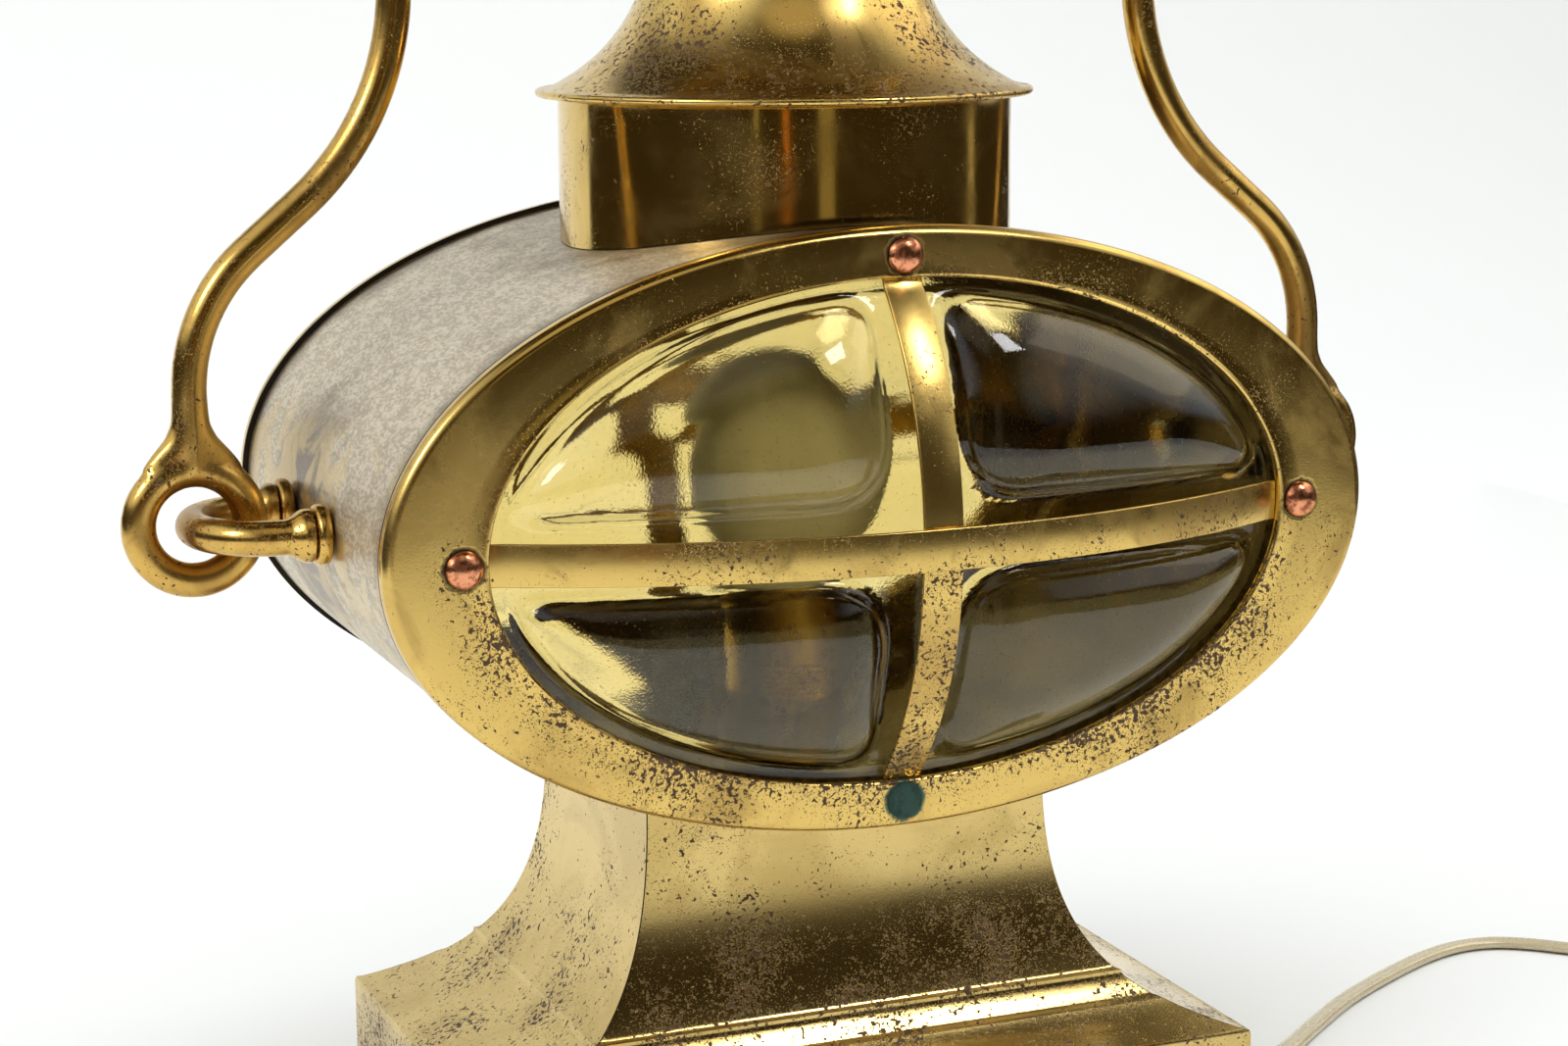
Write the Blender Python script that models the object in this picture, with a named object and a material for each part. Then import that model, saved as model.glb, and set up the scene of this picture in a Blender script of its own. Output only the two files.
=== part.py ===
"""Electrified ship lantern: an elliptical brass drum with a pressed lens in each end, on a flared pedestal.

Metres, +Z up.  The origin is the middle of the felt under the pedestal.  The drum's axis runs along Y, and
the front lens faces -Y.  The bail swings about X through its two staples, the hood lifts off the collar along
Z, and the switch knob turns about X.
"""
import math

import bmesh
import bpy
from mathutils import Matrix, Vector

CLEARANCE = 0.0003           # between pieces that touch
SHEET = 0.0012               # brass sheet of the drum, collar and pedestal
BORE_OVERRUN = 0.0060        # how far a hole's cutter runs past a wall

# Drum and its two ends
DRUM_WIDTH = 0.2772
DRUM_HEIGHT = 0.1572
DRUM_LENGTH = 0.1504
BEZEL_OVERHANG = 0.0014
BEZEL_DEPTH = 0.0056
BEZEL_THICKNESS = 0.0014
BEZEL_ROUNDING = 0.0028
BEZEL_FACE_SIDE = 0.0270
BEZEL_FACE_TOP = 0.0132
RIVET_INSET_SIDE = 0.0204
RIVET_INSET_TOP = 0.0075
RIVET_SHANK_RADIUS = 0.0020
RIVET_HEAD_RADIUS = 0.0050
RIVET_HEAD_HEIGHT = 0.0030
RIVET_TAIL_RADIUS = 0.0034
RIVET_TAIL_HEIGHT = 0.0014
FLUSH_HEAD_HEIGHT = 0.0007
GUARD_WIDTH = 0.0110
GUARD_THICKNESS = 0.0013
GUARD_RISE = 0.0262
GUARD_TAB_OVERRUN = 0.0042
SEAT_RING_THICKNESS = 0.0014
SEAT_RING_LAP = 0.0050
GASKET_THICKNESS = 0.0010
GASKET_WIDTH = 0.0030

# Lens
GLASS_THICKNESS = 0.0040
GLASS_DOME = 0.0150
LOBE_HEIGHT = 0.0090
LOBE_SHOULDER = 0.0160
LOBE_CORNER = 0.0070
WEB_HALF_WIDTH = 0.0085
LENS_BORDER = 0.0035
LENS_CROWDING = 0.75         # how far the mesh's columns crowd towards the web's arms

# Collar and hood
COLLAR_RADIUS = 0.0631
COLLAR_TOP_ABOVE_AXIS = 0.1124
CHIMNEY_INSET = 0.0015       # the drum's hole inside the collar's wall
HOOD_SHEET = 0.0010
HOOD_RIM_OVERHANG = 0.0062
HOOD_BEAD_RADIUS = 0.0011
HOOD_NECK_RADIUS = 0.0375
HOOD_HEIGHT = 0.0420
HOOD_RIM_DROP = 0.0011        # rim below the collar's edge before the hood is seated
SPIGOT_LENGTH = 0.0200
VENT_RING_HEIGHT = 0.0360
VENT_RING_SINK = 0.0120
VENT_HOLE_COUNT = 10
VENT_HOLE_RADIUS = 0.0042
CAP_RADIUS = 0.0460
CAP_SKIRT = 0.0050
CAP_DOME = 0.0210
FINIAL_RADIUS = 0.0070
FINIAL_STEM_RADIUS = 0.0030

# Bail and staples
ROD_RADIUS = 0.00475
EYE_RADIUS = 0.0149          # to the middle of the rod
EYE_RISE = 0.0012            # eye centre above the staple, as it hangs when the bail is held up
STAPLE_REACH = 0.0310        # staple crown beyond the drum's side
STAPLE_HALF_SPREAD = 0.0210
STAPLE_FOOT_RADIUS = 0.0072
STAPLE_FOOT_LENGTH = 0.0070
STUD_RADIUS = 0.0025
STUD_OVERRUN = 0.0008        # stud end beyond its nut
WASHER_RADIUS = 0.0082
WASHER_THICKNESS = 0.0040
NUT_RADIUS = 0.0052
NUT_THICKNESS = 0.0040
BAIL_SHANK_TOP = 0.0360      # where the lower bend starts, above the drum's axis
BAIL_LOWER_BEND = 0.0480
BAIL_UPPER_BEND = 0.0750
BAIL_SLANT = 0.0194
BAIL_ARCH_RADIUS = 0.1110
BAIL_ARCH_SPRING = 0.1600

# Pedestal
FELT_THICKNESS = 0.0015
PLINTH_BAND = 0.0270
FLARE_HEIGHT = 0.0757
FLARE_WIDTH = 0.0525
FLARE_DEPTH = 0.0297
NECK_WIDTH = 0.1196
NECK_DEPTH = 0.0888
NECK_RELIEF = 0.0014
BASE_PLATE_THICKNESS = 0.0030
BASE_PLATE_HEIGHT = 0.0160

# Lamp works
PIPE_RADIUS = 0.0049
PIPE_BORE = 0.0036
PIPE_NUT_RADIUS = 0.0095
PIPE_NUT_THICKNESS = 0.0040
SOCKET_RADIUS = 0.0178
SOCKET_SHEET = 0.0008
SOCKET_CUP_HEIGHT = 0.0100
SOCKET_SHELL_HEIGHT = 0.0310
SOCKET_LIFT = 0.0010
BULB_BASE_RADIUS = 0.0129
BULB_BASE_LENGTH = 0.0200
BULB_RADIUS = 0.0280
BULB_NECK_LENGTH = 0.0100
KNOB_HEIGHT_IN_SHELL = 0.0040
KNOB_STEM_RADIUS = 0.0018
KNOB_LENGTH = 0.0160
KNOB_STANDOFF = 0.0035
KNOB_PADDLE_HEIGHT = 0.0110
KNOB_PADDLE_THICKNESS = 0.0040

# Flat twin cord
CORD_WIDTH = 0.0060
CORD_THICKNESS = 0.0032
CORD_EXIT_Y = -0.0400
CORD_EXIT_Z = 0.0100
BUSHING_RADIUS = 0.0044
BUSHING_FLANGE_RADIUS = 0.0060
BUSHING_FLANGE = 0.0030
CORD_LIE = 0.0019
CORD_ROUTE = (
    (0.1162, -0.0400, 0.0098),
    (0.1195, -0.0400, 0.0090),
    (0.1230, -0.0398, 0.0070),
    (0.1270, -0.0394, 0.0044),
    (0.1315, -0.0386, 0.0025),
    (0.1365, -0.0372, CORD_LIE),
    (0.1440, -0.0341, CORD_LIE),
    (0.1550, -0.0276, CORD_LIE),
    (0.1730, -0.0134, CORD_LIE),
    (0.1930, 0.0015, CORD_LIE),
    (0.2170, 0.0157, CORD_LIE),
    (0.2400, 0.0270, CORD_LIE),
    (0.2560, 0.0315, CORD_LIE),
    (0.2690, 0.0305, CORD_LIE),
    (0.2795, 0.0245, CORD_LIE),
    (0.2890, 0.0155, CORD_LIE),
    (0.2985, 0.0060, CORD_LIE),
    (0.3080, -0.0035, CORD_LIE),
    (0.3175, -0.0130, CORD_LIE),
    (0.3260, -0.0215, CORD_LIE),
)
COIL_CENTRE = (0.3568, 0.0093)
COIL_INNER_RADIUS = 0.0275
COIL_OUTER_RADIUS = 0.0415
COIL_HEIGHT = 0.0138
TIE_THICKNESS = 0.0008
TIE_WIDTH = 0.0080
TIE_ANGLE = math.radians(250.0)
PLUG_ANGLE = math.radians(-35.0)
PLUG_NOSE_HALF_WIDTH = 0.0032
PLUG_NOSE_LENGTH = 0.0140
PLUG_LENGTH = 0.0230
PLUG_WIDTH = 0.0220
PLUG_HEIGHT = 0.0120
BLADE_LENGTH = 0.0159
BLADE_WIDTH = 0.0063
BLADE_THICKNESS = 0.0015
BLADE_SPACING = 0.0127

ROUND_STEPS = 28
OVAL_STEPS = 44
OVAL_CROWDING = 0.30         # how far the columns of an oval crowd towards its tight ends
SMALL_STEPS = 10

# Heights and half sizes that follow from the values above
DRUM_HALF_WIDTH = DRUM_WIDTH / 2
DRUM_HALF_HEIGHT = DRUM_HEIGHT / 2
PLINTH_TOP = FELT_THICKNESS + PLINTH_BAND
FLARE_TOP = PLINTH_TOP + FLARE_HEIGHT
AXIS_Z = FLARE_TOP + NECK_RELIEF + DRUM_HALF_HEIGHT

BEZEL_HALF_WIDTH = DRUM_HALF_WIDTH + BEZEL_OVERHANG
BEZEL_HALF_HEIGHT = DRUM_HALF_HEIGHT + BEZEL_OVERHANG
OPENING_HALF_WIDTH = BEZEL_HALF_WIDTH - BEZEL_FACE_SIDE
OPENING_HALF_HEIGHT = BEZEL_HALF_HEIGHT - BEZEL_FACE_TOP
RIVET_X = BEZEL_HALF_WIDTH - RIVET_INSET_SIDE
RIVET_Z = BEZEL_HALF_HEIGHT - RIVET_INSET_TOP
GLASS_HALF_WIDTH = RIVET_X - RIVET_SHANK_RADIUS - 2 * CLEARANCE
GLASS_HALF_HEIGHT = RIVET_Z - RIVET_SHANK_RADIUS - 2 * CLEARANCE

# Distances from the middle of the drum out to each layer of an end
LIP_BACK = DRUM_LENGTH / 2 + CLEARANCE
BEZEL_FACE = LIP_BACK + BEZEL_DEPTH
BEZEL_BACK = BEZEL_FACE - BEZEL_THICKNESS
GUARD_FACE = BEZEL_BACK - CLEARANCE
GUARD_BACK = GUARD_FACE - GUARD_THICKNESS
GLASS_FACE = GUARD_BACK - CLEARANCE
GLASS_BACK = GLASS_FACE - GLASS_THICKNESS
GASKET_FACE = GLASS_BACK - CLEARANCE
GASKET_BACK = GASKET_FACE - GASKET_THICKNESS
SEAT_FACE = GASKET_BACK - CLEARANCE
SEAT_BACK = SEAT_FACE - SEAT_RING_THICKNESS

COLLAR_TOP = AXIS_Z + COLLAR_TOP_ABOVE_AXIS
HOOD_RIM_RADIUS = COLLAR_RADIUS + HOOD_RIM_OVERHANG
NECK_TOP_HALF_WIDTH = NECK_WIDTH / 2
NECK_TOP_HALF_DEPTH = NECK_DEPTH / 2
PIVOT = Vector((0.0, 0.0, AXIS_Z))
EYE_X = DRUM_HALF_WIDTH + STAPLE_REACH
BUSHING_BORE = CORD_THICKNESS / 2 + 2 * CLEARANCE


# ---------------------------------------------------------------- materials

def metal(name, colour, roughness):
    """Make a bare metal."""
    return surface(name, colour, roughness, metallic=1.0)


def surface(name, colour, roughness, metallic=0.0, transmission=0.0):
    """Make a Principled material from a linear colour."""
    material = bpy.data.materials.new(name)
    material.use_nodes = True
    shader = material.node_tree.nodes["Principled BSDF"]
    shader.inputs["Base Color"].default_value = (*colour, 1.0)
    shader.inputs["Roughness"].default_value = roughness
    shader.inputs["Metallic"].default_value = metallic
    shader.inputs["Transmission Weight"].default_value = transmission
    material.diffuse_color = (*colour, 1.0)
    return material


# ---------------------------------------------------------------- mesh helpers

def clear_scene():
    """Remove every object that the file starts with."""
    for thing in list(bpy.data.objects):
        bpy.data.objects.remove(thing, do_unlink=True)


def add_object(name, mesh, material, origin=None):
    """Turn a bmesh into a named object whose own origin is at the given point."""
    data = bpy.data.meshes.new(name)
    bmesh.ops.recalc_face_normals(mesh, faces=mesh.faces)
    mesh.to_mesh(data)
    mesh.free()
    if origin is not None:
        data.transform(Matrix.Translation(-origin))
    data.shade_smooth()
    data.set_sharp_from_angle(angle=math.radians(35.0))
    thing = bpy.data.objects.new(name, data)
    bpy.context.scene.collection.objects.link(thing)
    if origin is not None:
        thing.location = origin
    if material is not None:
        data.materials.append(material)
    return thing


def join_rows(mesh, first, second):
    """Fill the band between two rows of vertices that go round; a row of one vertex is a tip."""
    count = max(len(first), len(second))
    for index in range(count):
        after = (index + 1) % count
        corners = [first[index % len(first)], first[after % len(first)],
                   second[after % len(second)], second[index % len(second)]]
        distinct = list(dict.fromkeys(corners))
        mesh.faces.new(distinct)


def loft(rings, loop=False):
    """Skin a body over rings of points, either round in a loop or closed at both ends."""
    mesh = bmesh.new()
    rows = [[mesh.verts.new(point) for point in ring] for ring in rings]
    pairs = list(zip(rows, rows[1:]))
    if loop:
        pairs.append((rows[-1], rows[0]))
    for first, second in pairs:
        join_rows(mesh, first, second)
    if not loop:
        for row in (rows[0], rows[-1]):
            if len(row) > 1:
                mesh.faces.new(row)
    return mesh


def circle(radius, height, steps=ROUND_STEPS):
    """A ring of points about Z, or one point where the radius is nothing."""
    if radius < 1e-9:
        return [Vector((0.0, 0.0, height))]
    turn = 2 * math.pi / steps
    return [Vector((radius * math.cos(turn * k), radius * math.sin(turn * k), height)) for k in range(steps)]


def turned(profile, frame=None, steps=ROUND_STEPS):
    """Turn a profile of (radius, height) about Z; it is a closed section unless it starts on the axis."""
    hollow = profile[0][0] > 1e-9
    mesh = loft([circle(radius, height, steps) for radius, height in profile], loop=hollow)
    if frame is not None:
        mesh.transform(frame)
    return mesh


def frame_at(place, direction):
    """A matrix that moves the origin to a place and turns +Z to a direction."""
    turn = Vector(direction).to_track_quat("Z", "Y").to_matrix().to_4x4()
    return Matrix.Translation(Vector(place)) @ turn


def oval(half_width, half_height, out, side):
    """An elliptical ring of points about the drum's axis, at a distance out from its middle."""
    angles = [2 * math.pi * step / OVAL_STEPS for step in range(OVAL_STEPS)]
    angles = [angle - OVAL_CROWDING * math.sin(2 * angle) / 2 for angle in angles]
    return [Vector((half_width * math.cos(angle), side * out, AXIS_Z + half_height * math.sin(angle)))
            for angle in angles]


def oval_body(section, side):
    """A ring with a section of (half width, half height, distance out)."""
    return loft([oval(wide, high, out, side) for wide, high, out in section], loop=True)


def box(low, high):
    """A plain block between two corners."""
    mesh = bmesh.new()
    bmesh.ops.create_cube(mesh, size=1.0)
    size = Vector(high) - Vector(low)
    mesh.transform(Matrix.Translation((Vector(low) + Vector(high)) / 2) @ Matrix.Diagonal((*size, 1.0)))
    return mesh


def swept(points, radii, across, steps=20):
    """A round bar along points in one plane, whose normal is given as across."""
    rings = []
    last = len(points) - 1
    for index, (point, radius) in enumerate(zip(points, radii)):
        ahead = points[min(index + 1, last)]
        behind = points[max(index - 1, 0)]
        outward = (ahead - behind).normalized().cross(across)
        turn = 2 * math.pi / steps
        rings.append([point + radius * (outward * math.cos(turn * k) + across * math.sin(turn * k))
                      for k in range(steps)])
    return loft(rings)


def arc(centre, radius, start, end, steps, horizontal, vertical):
    """Points on an arc in the plane of two unit vectors, its angles in radians, without its first point."""
    points = []
    for index in range(1, steps + 1):
        angle = start + (end - start) * index / steps
        points.append(centre + radius * (horizontal * math.cos(angle) + vertical * math.sin(angle)))
    return points


def bezier(controls, share):
    """A point on a cubic curve of four control points."""
    rest = 1.0 - share
    weights = (rest ** 3, 3 * rest * rest * share, 3 * rest * share * share, share ** 3)
    return tuple(sum(weight * point[axis] for weight, point in zip(weights, controls)) for axis in range(2))


def make_cutter(name, meshes):
    """Gather closed shapes into one hidden cutter."""
    whole = bpy.data.meshes.new(name)
    gathered = bmesh.new()
    for mesh in meshes:
        bmesh.ops.recalc_face_normals(mesh, faces=mesh.faces)
        piece = bpy.data.meshes.new(name + "_part")
        mesh.to_mesh(piece)
        mesh.free()
        gathered.from_mesh(piece)
        bpy.data.meshes.remove(piece)
    gathered.to_mesh(whole)
    gathered.free()
    cutter = bpy.data.objects.new(name, whole)
    bpy.context.scene.collection.objects.link(cutter)
    cutter.hide_render = True
    cutter.display_type = "WIRE"
    return cutter


def boolean(thing, other, operation="DIFFERENCE"):
    """Cut a thing with another object, or unite the two."""
    modifier = thing.modifiers.new(other.name, "BOOLEAN")
    modifier.object = other
    modifier.operation = operation
    modifier.solver = "EXACT"


# ---------------------------------------------------------------- drum and ends

def drum_height_at(x, extra=0.0):
    """Height of the drum's outside above its axis at a distance x from the middle."""
    wide = DRUM_HALF_WIDTH + extra
    high = DRUM_HALF_HEIGHT + extra
    return high * math.sqrt(max(0.0, 1.0 - (x / wide) ** 2))


def build_drum(brass, cutters):
    """The rolled sheet of the drum, with its chimney, pipe and stud holes."""
    half = DRUM_LENGTH / 2
    section = (
        (DRUM_HALF_WIDTH, DRUM_HALF_HEIGHT, -half),
        (DRUM_HALF_WIDTH, DRUM_HALF_HEIGHT, half),
        (DRUM_HALF_WIDTH - SHEET, DRUM_HALF_HEIGHT - SHEET, half),
        (DRUM_HALF_WIDTH - SHEET, DRUM_HALF_HEIGHT - SHEET, -half),
    )
    drum = add_object("drum_shell", oval_body(section, 1), brass)
    for cutter in cutters:
        boolean(drum, cutter)


def bezel_section():
    """The bezel's section: back of the lip, rounded shoulder, face, inner edge."""
    section = [(BEZEL_HALF_WIDTH, BEZEL_HALF_HEIGHT, LIP_BACK)]
    for index in range(4):
        angle = math.radians(90.0 * index / 3)
        inset = BEZEL_ROUNDING * (1 - math.cos(angle))
        out = BEZEL_FACE - BEZEL_ROUNDING * (1 - math.sin(angle))
        section.append((BEZEL_HALF_WIDTH - inset, BEZEL_HALF_HEIGHT - inset, out))
    section.append((OPENING_HALF_WIDTH, OPENING_HALF_HEIGHT, BEZEL_FACE))
    section.append((OPENING_HALF_WIDTH, OPENING_HALF_HEIGHT, BEZEL_BACK))
    inner = BEZEL_ROUNDING
    section.append((BEZEL_HALF_WIDTH - inner, BEZEL_HALF_HEIGHT - inner, BEZEL_BACK))
    wall = BEZEL_THICKNESS
    section.append((BEZEL_HALF_WIDTH - wall, BEZEL_HALF_HEIGHT - wall, BEZEL_FACE - BEZEL_ROUNDING))
    section.append((BEZEL_HALF_WIDTH - wall, BEZEL_HALF_HEIGHT - wall, LIP_BACK))
    return section


def flat_ring(outer, inner, face, back):
    """The section of a flat ring between two ovals."""
    return ((*outer, face), (*inner, face), (*inner, back), (*outer, back))


def smooth_least(first, second, rounding):
    """The smaller of two values, with a round corner where they meet."""
    mix = max(rounding - abs(first - second), 0.0) / rounding
    return min(first, second) - mix * mix * rounding / 4


def lobe_height(x, z):
    """How far a lobe stands above the web of the lens at a point."""
    half_width = OPENING_HALF_WIDTH - LENS_BORDER
    half_height = OPENING_HALF_HEIGHT - LENS_BORDER
    reach = math.hypot(x / half_width, z / half_height)
    if reach < 1e-6:
        return 0.0
    slope = math.hypot(x / half_width ** 2, z / half_height ** 2) / reach
    to_border = (1.0 - reach) / slope
    inside = smooth_least(abs(x) - WEB_HALF_WIDTH, abs(z) - WEB_HALF_WIDTH, 2 * LOBE_CORNER)
    inside = smooth_least(inside, to_border, LOBE_CORNER)
    share = min(max(inside / LOBE_SHOULDER, 0.0), 1.0)
    return LOBE_HEIGHT * math.sqrt(1.0 - (1.0 - share) ** 2)


def dome_height(x, z):
    """How far the whole lens is domed at a point."""
    half_width = OPENING_HALF_WIDTH - LENS_BORDER
    half_height = OPENING_HALF_HEIGHT - LENS_BORDER
    reach = (x / half_width) ** 2 + (z / half_height) ** 2
    return GLASS_DOME * max(0.0, 1.0 - reach)


def lens_skin(base, lobes, shares, side):
    """Rings of one skin of the lens, from its rim to its middle."""
    rings = []
    for share in shares:
        ring = []
        for step in range(OVAL_STEPS):
            angle = 2 * math.pi * step / OVAL_STEPS
            angle -= LENS_CROWDING * math.sin(4 * angle) / 4
            x = GLASS_HALF_WIDTH * share * math.cos(angle)
            z = GLASS_HALF_HEIGHT * share * math.sin(angle)
            rise = dome_height(x, z) + lobes * lobe_height(x, z)
            ring.append(Vector((x, side * (base + rise), AXIS_Z + z)))
        rings.append(ring)
    rings.append([Vector((0.0, side * (base + GLASS_DOME), AXIS_Z))])
    return rings


def build_lens(name, glass, side):
    """A pressed lens with four lobes, the same thickness all over but smoother inside."""
    rows = 8
    field = (OPENING_HALF_WIDTH - LENS_BORDER) / GLASS_HALF_WIDTH
    shares = [1.0] + [field * (1.0 - index / rows) for index in range(rows)]
    outer = lens_skin(GLASS_FACE, 1.0, shares, side)
    inner = lens_skin(GLASS_BACK, 0.8, shares, side)
    add_object(name, loft(outer[::-1] + inner), glass)


def guard_path(rivet_reach, opening, level, rise):
    """The middle line of a guard bar as (along, out): a flat tab, the bow, and the other tab."""
    tab_end = rivet_reach + GUARD_TAB_OVERRUN
    spring = opening - GUARD_THICKNESS
    radius = (spring ** 2 + rise ** 2) / (2 * rise)
    swing = math.asin(spring / radius)
    steps = 12
    path = [(-tab_end, level)]
    for index in range(steps + 1):
        angle = swing * (2 * index / steps - 1)
        path.append((radius * math.sin(angle), level + rise - radius * (1 - math.cos(angle))))
    path.append((tab_end, level))
    return path


def guard_mesh(path, upright, side):
    """A flat bar bent along a path."""
    rings = []
    last = len(path) - 1
    for index, (along, out) in enumerate(path):
        ahead = path[min(index + 1, last)]
        behind = path[max(index - 1, 0)]
        step = Vector((ahead[0] - behind[0], ahead[1] - behind[1])).normalized()
        lift = Vector((-step.y, step.x)) * GUARD_THICKNESS / 2
        corners = []
        for across, sign in ((-1, 1), (1, 1), (1, -1), (-1, -1)):
            run = along + sign * lift.x
            depth = side * (out + sign * lift.y)
            offset = across * GUARD_WIDTH / 2
            corner = (offset, depth, AXIS_Z + run) if upright else (run, depth, AXIS_Z + offset)
            corners.append(Vector(corner))
        rings.append(corners)
    return loft(rings)


def build_guards(end, brass, side, cutter):
    """The upright guard bar, and the cross bar that bows over it."""
    middle = (GUARD_FACE + GUARD_BACK) / 2
    cross_rise = GUARD_RISE + GUARD_THICKNESS + 2 * CLEARANCE
    upright_path = guard_path(RIVET_Z, OPENING_HALF_HEIGHT, middle, GUARD_RISE)
    cross_path = guard_path(RIVET_X, OPENING_HALF_WIDTH, middle, cross_rise)
    upright = add_object(end + "_guard_upright", guard_mesh(upright_path, True, side), brass)
    cross = add_object(end + "_guard_cross", guard_mesh(cross_path, False, side), brass)
    boolean(upright, cutter)
    boolean(cross, cutter)


def rivet_profile(flush):
    """A rivet along +Z from its tail to its head, its height measured from the middle of the drum."""
    head = BEZEL_FACE + CLEARANCE
    tail = SEAT_BACK - CLEARANCE
    profile = [
        (0.0, tail - RIVET_TAIL_HEIGHT),
        (RIVET_TAIL_RADIUS * 0.7, tail - RIVET_TAIL_HEIGHT),
        (RIVET_TAIL_RADIUS, tail),
        (RIVET_SHANK_RADIUS, tail),
        (RIVET_SHANK_RADIUS, head),
        (RIVET_HEAD_RADIUS, head),
    ]
    if flush:
        profile += [
            (RIVET_HEAD_RADIUS, head + FLUSH_HEAD_HEIGHT),
            (RIVET_HEAD_RADIUS * 0.8, head + FLUSH_HEAD_HEIGHT),
            (RIVET_HEAD_RADIUS * 0.7, head + FLUSH_HEAD_HEIGHT / 2),
            (0.0, head + FLUSH_HEAD_HEIGHT / 2),
        ]
        return profile
    for index in range(1, 4):
        angle = math.radians(90.0 * index / 4)
        profile.append((RIVET_HEAD_RADIUS * math.cos(angle), head + RIVET_HEAD_HEIGHT * math.sin(angle)))
    profile.append((0.0, head + RIVET_HEAD_HEIGHT))
    return profile


def rivet_places():
    """The four rivets of an end as (name, x, height)."""
    return (
        ("left", -RIVET_X, AXIS_Z),
        ("right", RIVET_X, AXIS_Z),
        ("top", 0.0, AXIS_Z + RIVET_Z),
        ("bottom", 0.0, AXIS_Z - RIVET_Z),
    )


def build_end(end, side, brass, copper, glass, putty):
    """One end of the drum: seat ring, gasket, lens, guard bars, bezel and rivets."""
    holes = []
    for _, x, z in rivet_places():
        radius = RIVET_SHANK_RADIUS + CLEARANCE
        reach = BEZEL_FACE + RIVET_HEAD_HEIGHT
        profile = ((0.0, 0.0), (radius, 0.0), (radius, reach), (0.0, reach))
        holes.append(turned(profile, frame_at((x, 0.0, z), (0, side, 0)), SMALL_STEPS))
    cutter = make_cutter(end + "_rivet_holes", holes)
    inner = (OPENING_HALF_WIDTH, OPENING_HALF_HEIGHT)
    bezel = add_object(end + "_bezel", oval_body(bezel_section(), side), brass)
    drum_bore = (DRUM_HALF_WIDTH - SHEET - CLEARANCE, DRUM_HALF_HEIGHT - SHEET - CLEARANCE)
    seat_inner = (inner[0] - SEAT_RING_LAP, inner[1] - SEAT_RING_LAP)
    seat_section = flat_ring(drum_bore, seat_inner, SEAT_FACE, SEAT_BACK)
    seat = add_object(end + "_seat_ring", oval_body(seat_section, side), brass)
    boolean(bezel, cutter)
    boolean(seat, cutter)
    glass_edge = (GLASS_HALF_WIDTH, GLASS_HALF_HEIGHT)
    gasket_inner = (glass_edge[0] - GASKET_WIDTH, glass_edge[1] - GASKET_WIDTH)
    gasket_section = flat_ring(glass_edge, gasket_inner, GASKET_FACE, GASKET_BACK)
    add_object(end + "_gasket", oval_body(gasket_section, side), putty)
    build_lens(end + "_lens", glass, side)
    build_guards(end, brass, side, cutter)
    for place, x, z in rivet_places():
        flush = end == "front" and place == "bottom"
        rivet = turned(rivet_profile(flush), frame_at((x, 0.0, z), (0, side, 0)), SMALL_STEPS)
        add_object(end + "_rivet_" + place, rivet, copper)


# ---------------------------------------------------------------- collar and hood

def build_collar(brass):
    """The upright collar, cut to sit on the drum."""
    def ring(radius, top):
        points = []
        for point in circle(radius, COLLAR_TOP, OVAL_STEPS):
            if not top:
                point.z = AXIS_Z + drum_height_at(point.x, CLEARANCE)
            points.append(point)
        return points
    inner = COLLAR_RADIUS - SHEET
    rings = [ring(COLLAR_RADIUS, False), ring(COLLAR_RADIUS, True), ring(inner, True), ring(inner, False)]
    add_object("chimney_collar", loft(rings, loop=True), brass)


def hood_curve():
    """Control points of the hood's outside, as (radius, height), from the rim to the neck."""
    rim = HOOD_RIM_RADIUS - 2 * HOOD_BEAD_RADIUS
    base = COLLAR_TOP - HOOD_RIM_DROP
    span = rim - HOOD_NECK_RADIUS
    return (
        (rim, base),
        (HOOD_NECK_RADIUS + 0.42 * span, base + 0.19 * HOOD_HEIGHT),
        (HOOD_NECK_RADIUS + 0.02 * span, base + 0.51 * HOOD_HEIGHT),
        (HOOD_NECK_RADIUS, base + HOOD_HEIGHT),
    )


def hood_outside(steps=8):
    """Points of the hood's outside from the neck down to the rim."""
    return [bezier(hood_curve(), 1.0 - index / steps) for index in range(steps + 1)]


def hood_underside_at(radius):
    """Height of the hood's underside at a radius near the rim."""
    points = hood_outside(64)
    nearest = min(points, key=lambda point: abs(point[0] - radius))
    return nearest[1] - 1.15 * HOOD_SHEET


def seat_lift():
    """How far the hood is raised so that its underside rests on the collar."""
    return COLLAR_TOP + CLEARANCE - hood_underside_at(COLLAR_RADIUS)


def inset_profile(points, thickness):
    """Points at a wall's thickness inside an outline that runs from the top down."""
    inside = []
    last = len(points) - 1
    for index, point in enumerate(points):
        ahead = points[min(index + 1, last)]
        behind = points[max(index - 1, 0)]
        step = Vector((ahead[0] - behind[0], ahead[1] - behind[1])).normalized()
        inside.append((point[0] + step.y * thickness, point[1] - step.x * thickness))
    return inside


def hood_profile():
    """The closed section of the hood, with a rolled bead round its rim."""
    outside = hood_outside()
    inside = inset_profile(outside, HOOD_SHEET)
    centre = (HOOD_RIM_RADIUS - HOOD_BEAD_RADIUS, outside[-1][1] - HOOD_BEAD_RADIUS / 2)
    bead = []
    for index in range(4):
        angle = math.radians(120.0 - 260.0 * index / 3)
        reach = centre[0] + HOOD_BEAD_RADIUS * math.cos(angle)
        bead.append((reach, centre[1] + HOOD_BEAD_RADIUS * math.sin(angle)))
    lift = seat_lift()
    return [(radius, height + lift) for radius, height in outside[:-1] + bead + inside[-2::-1]]


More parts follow.
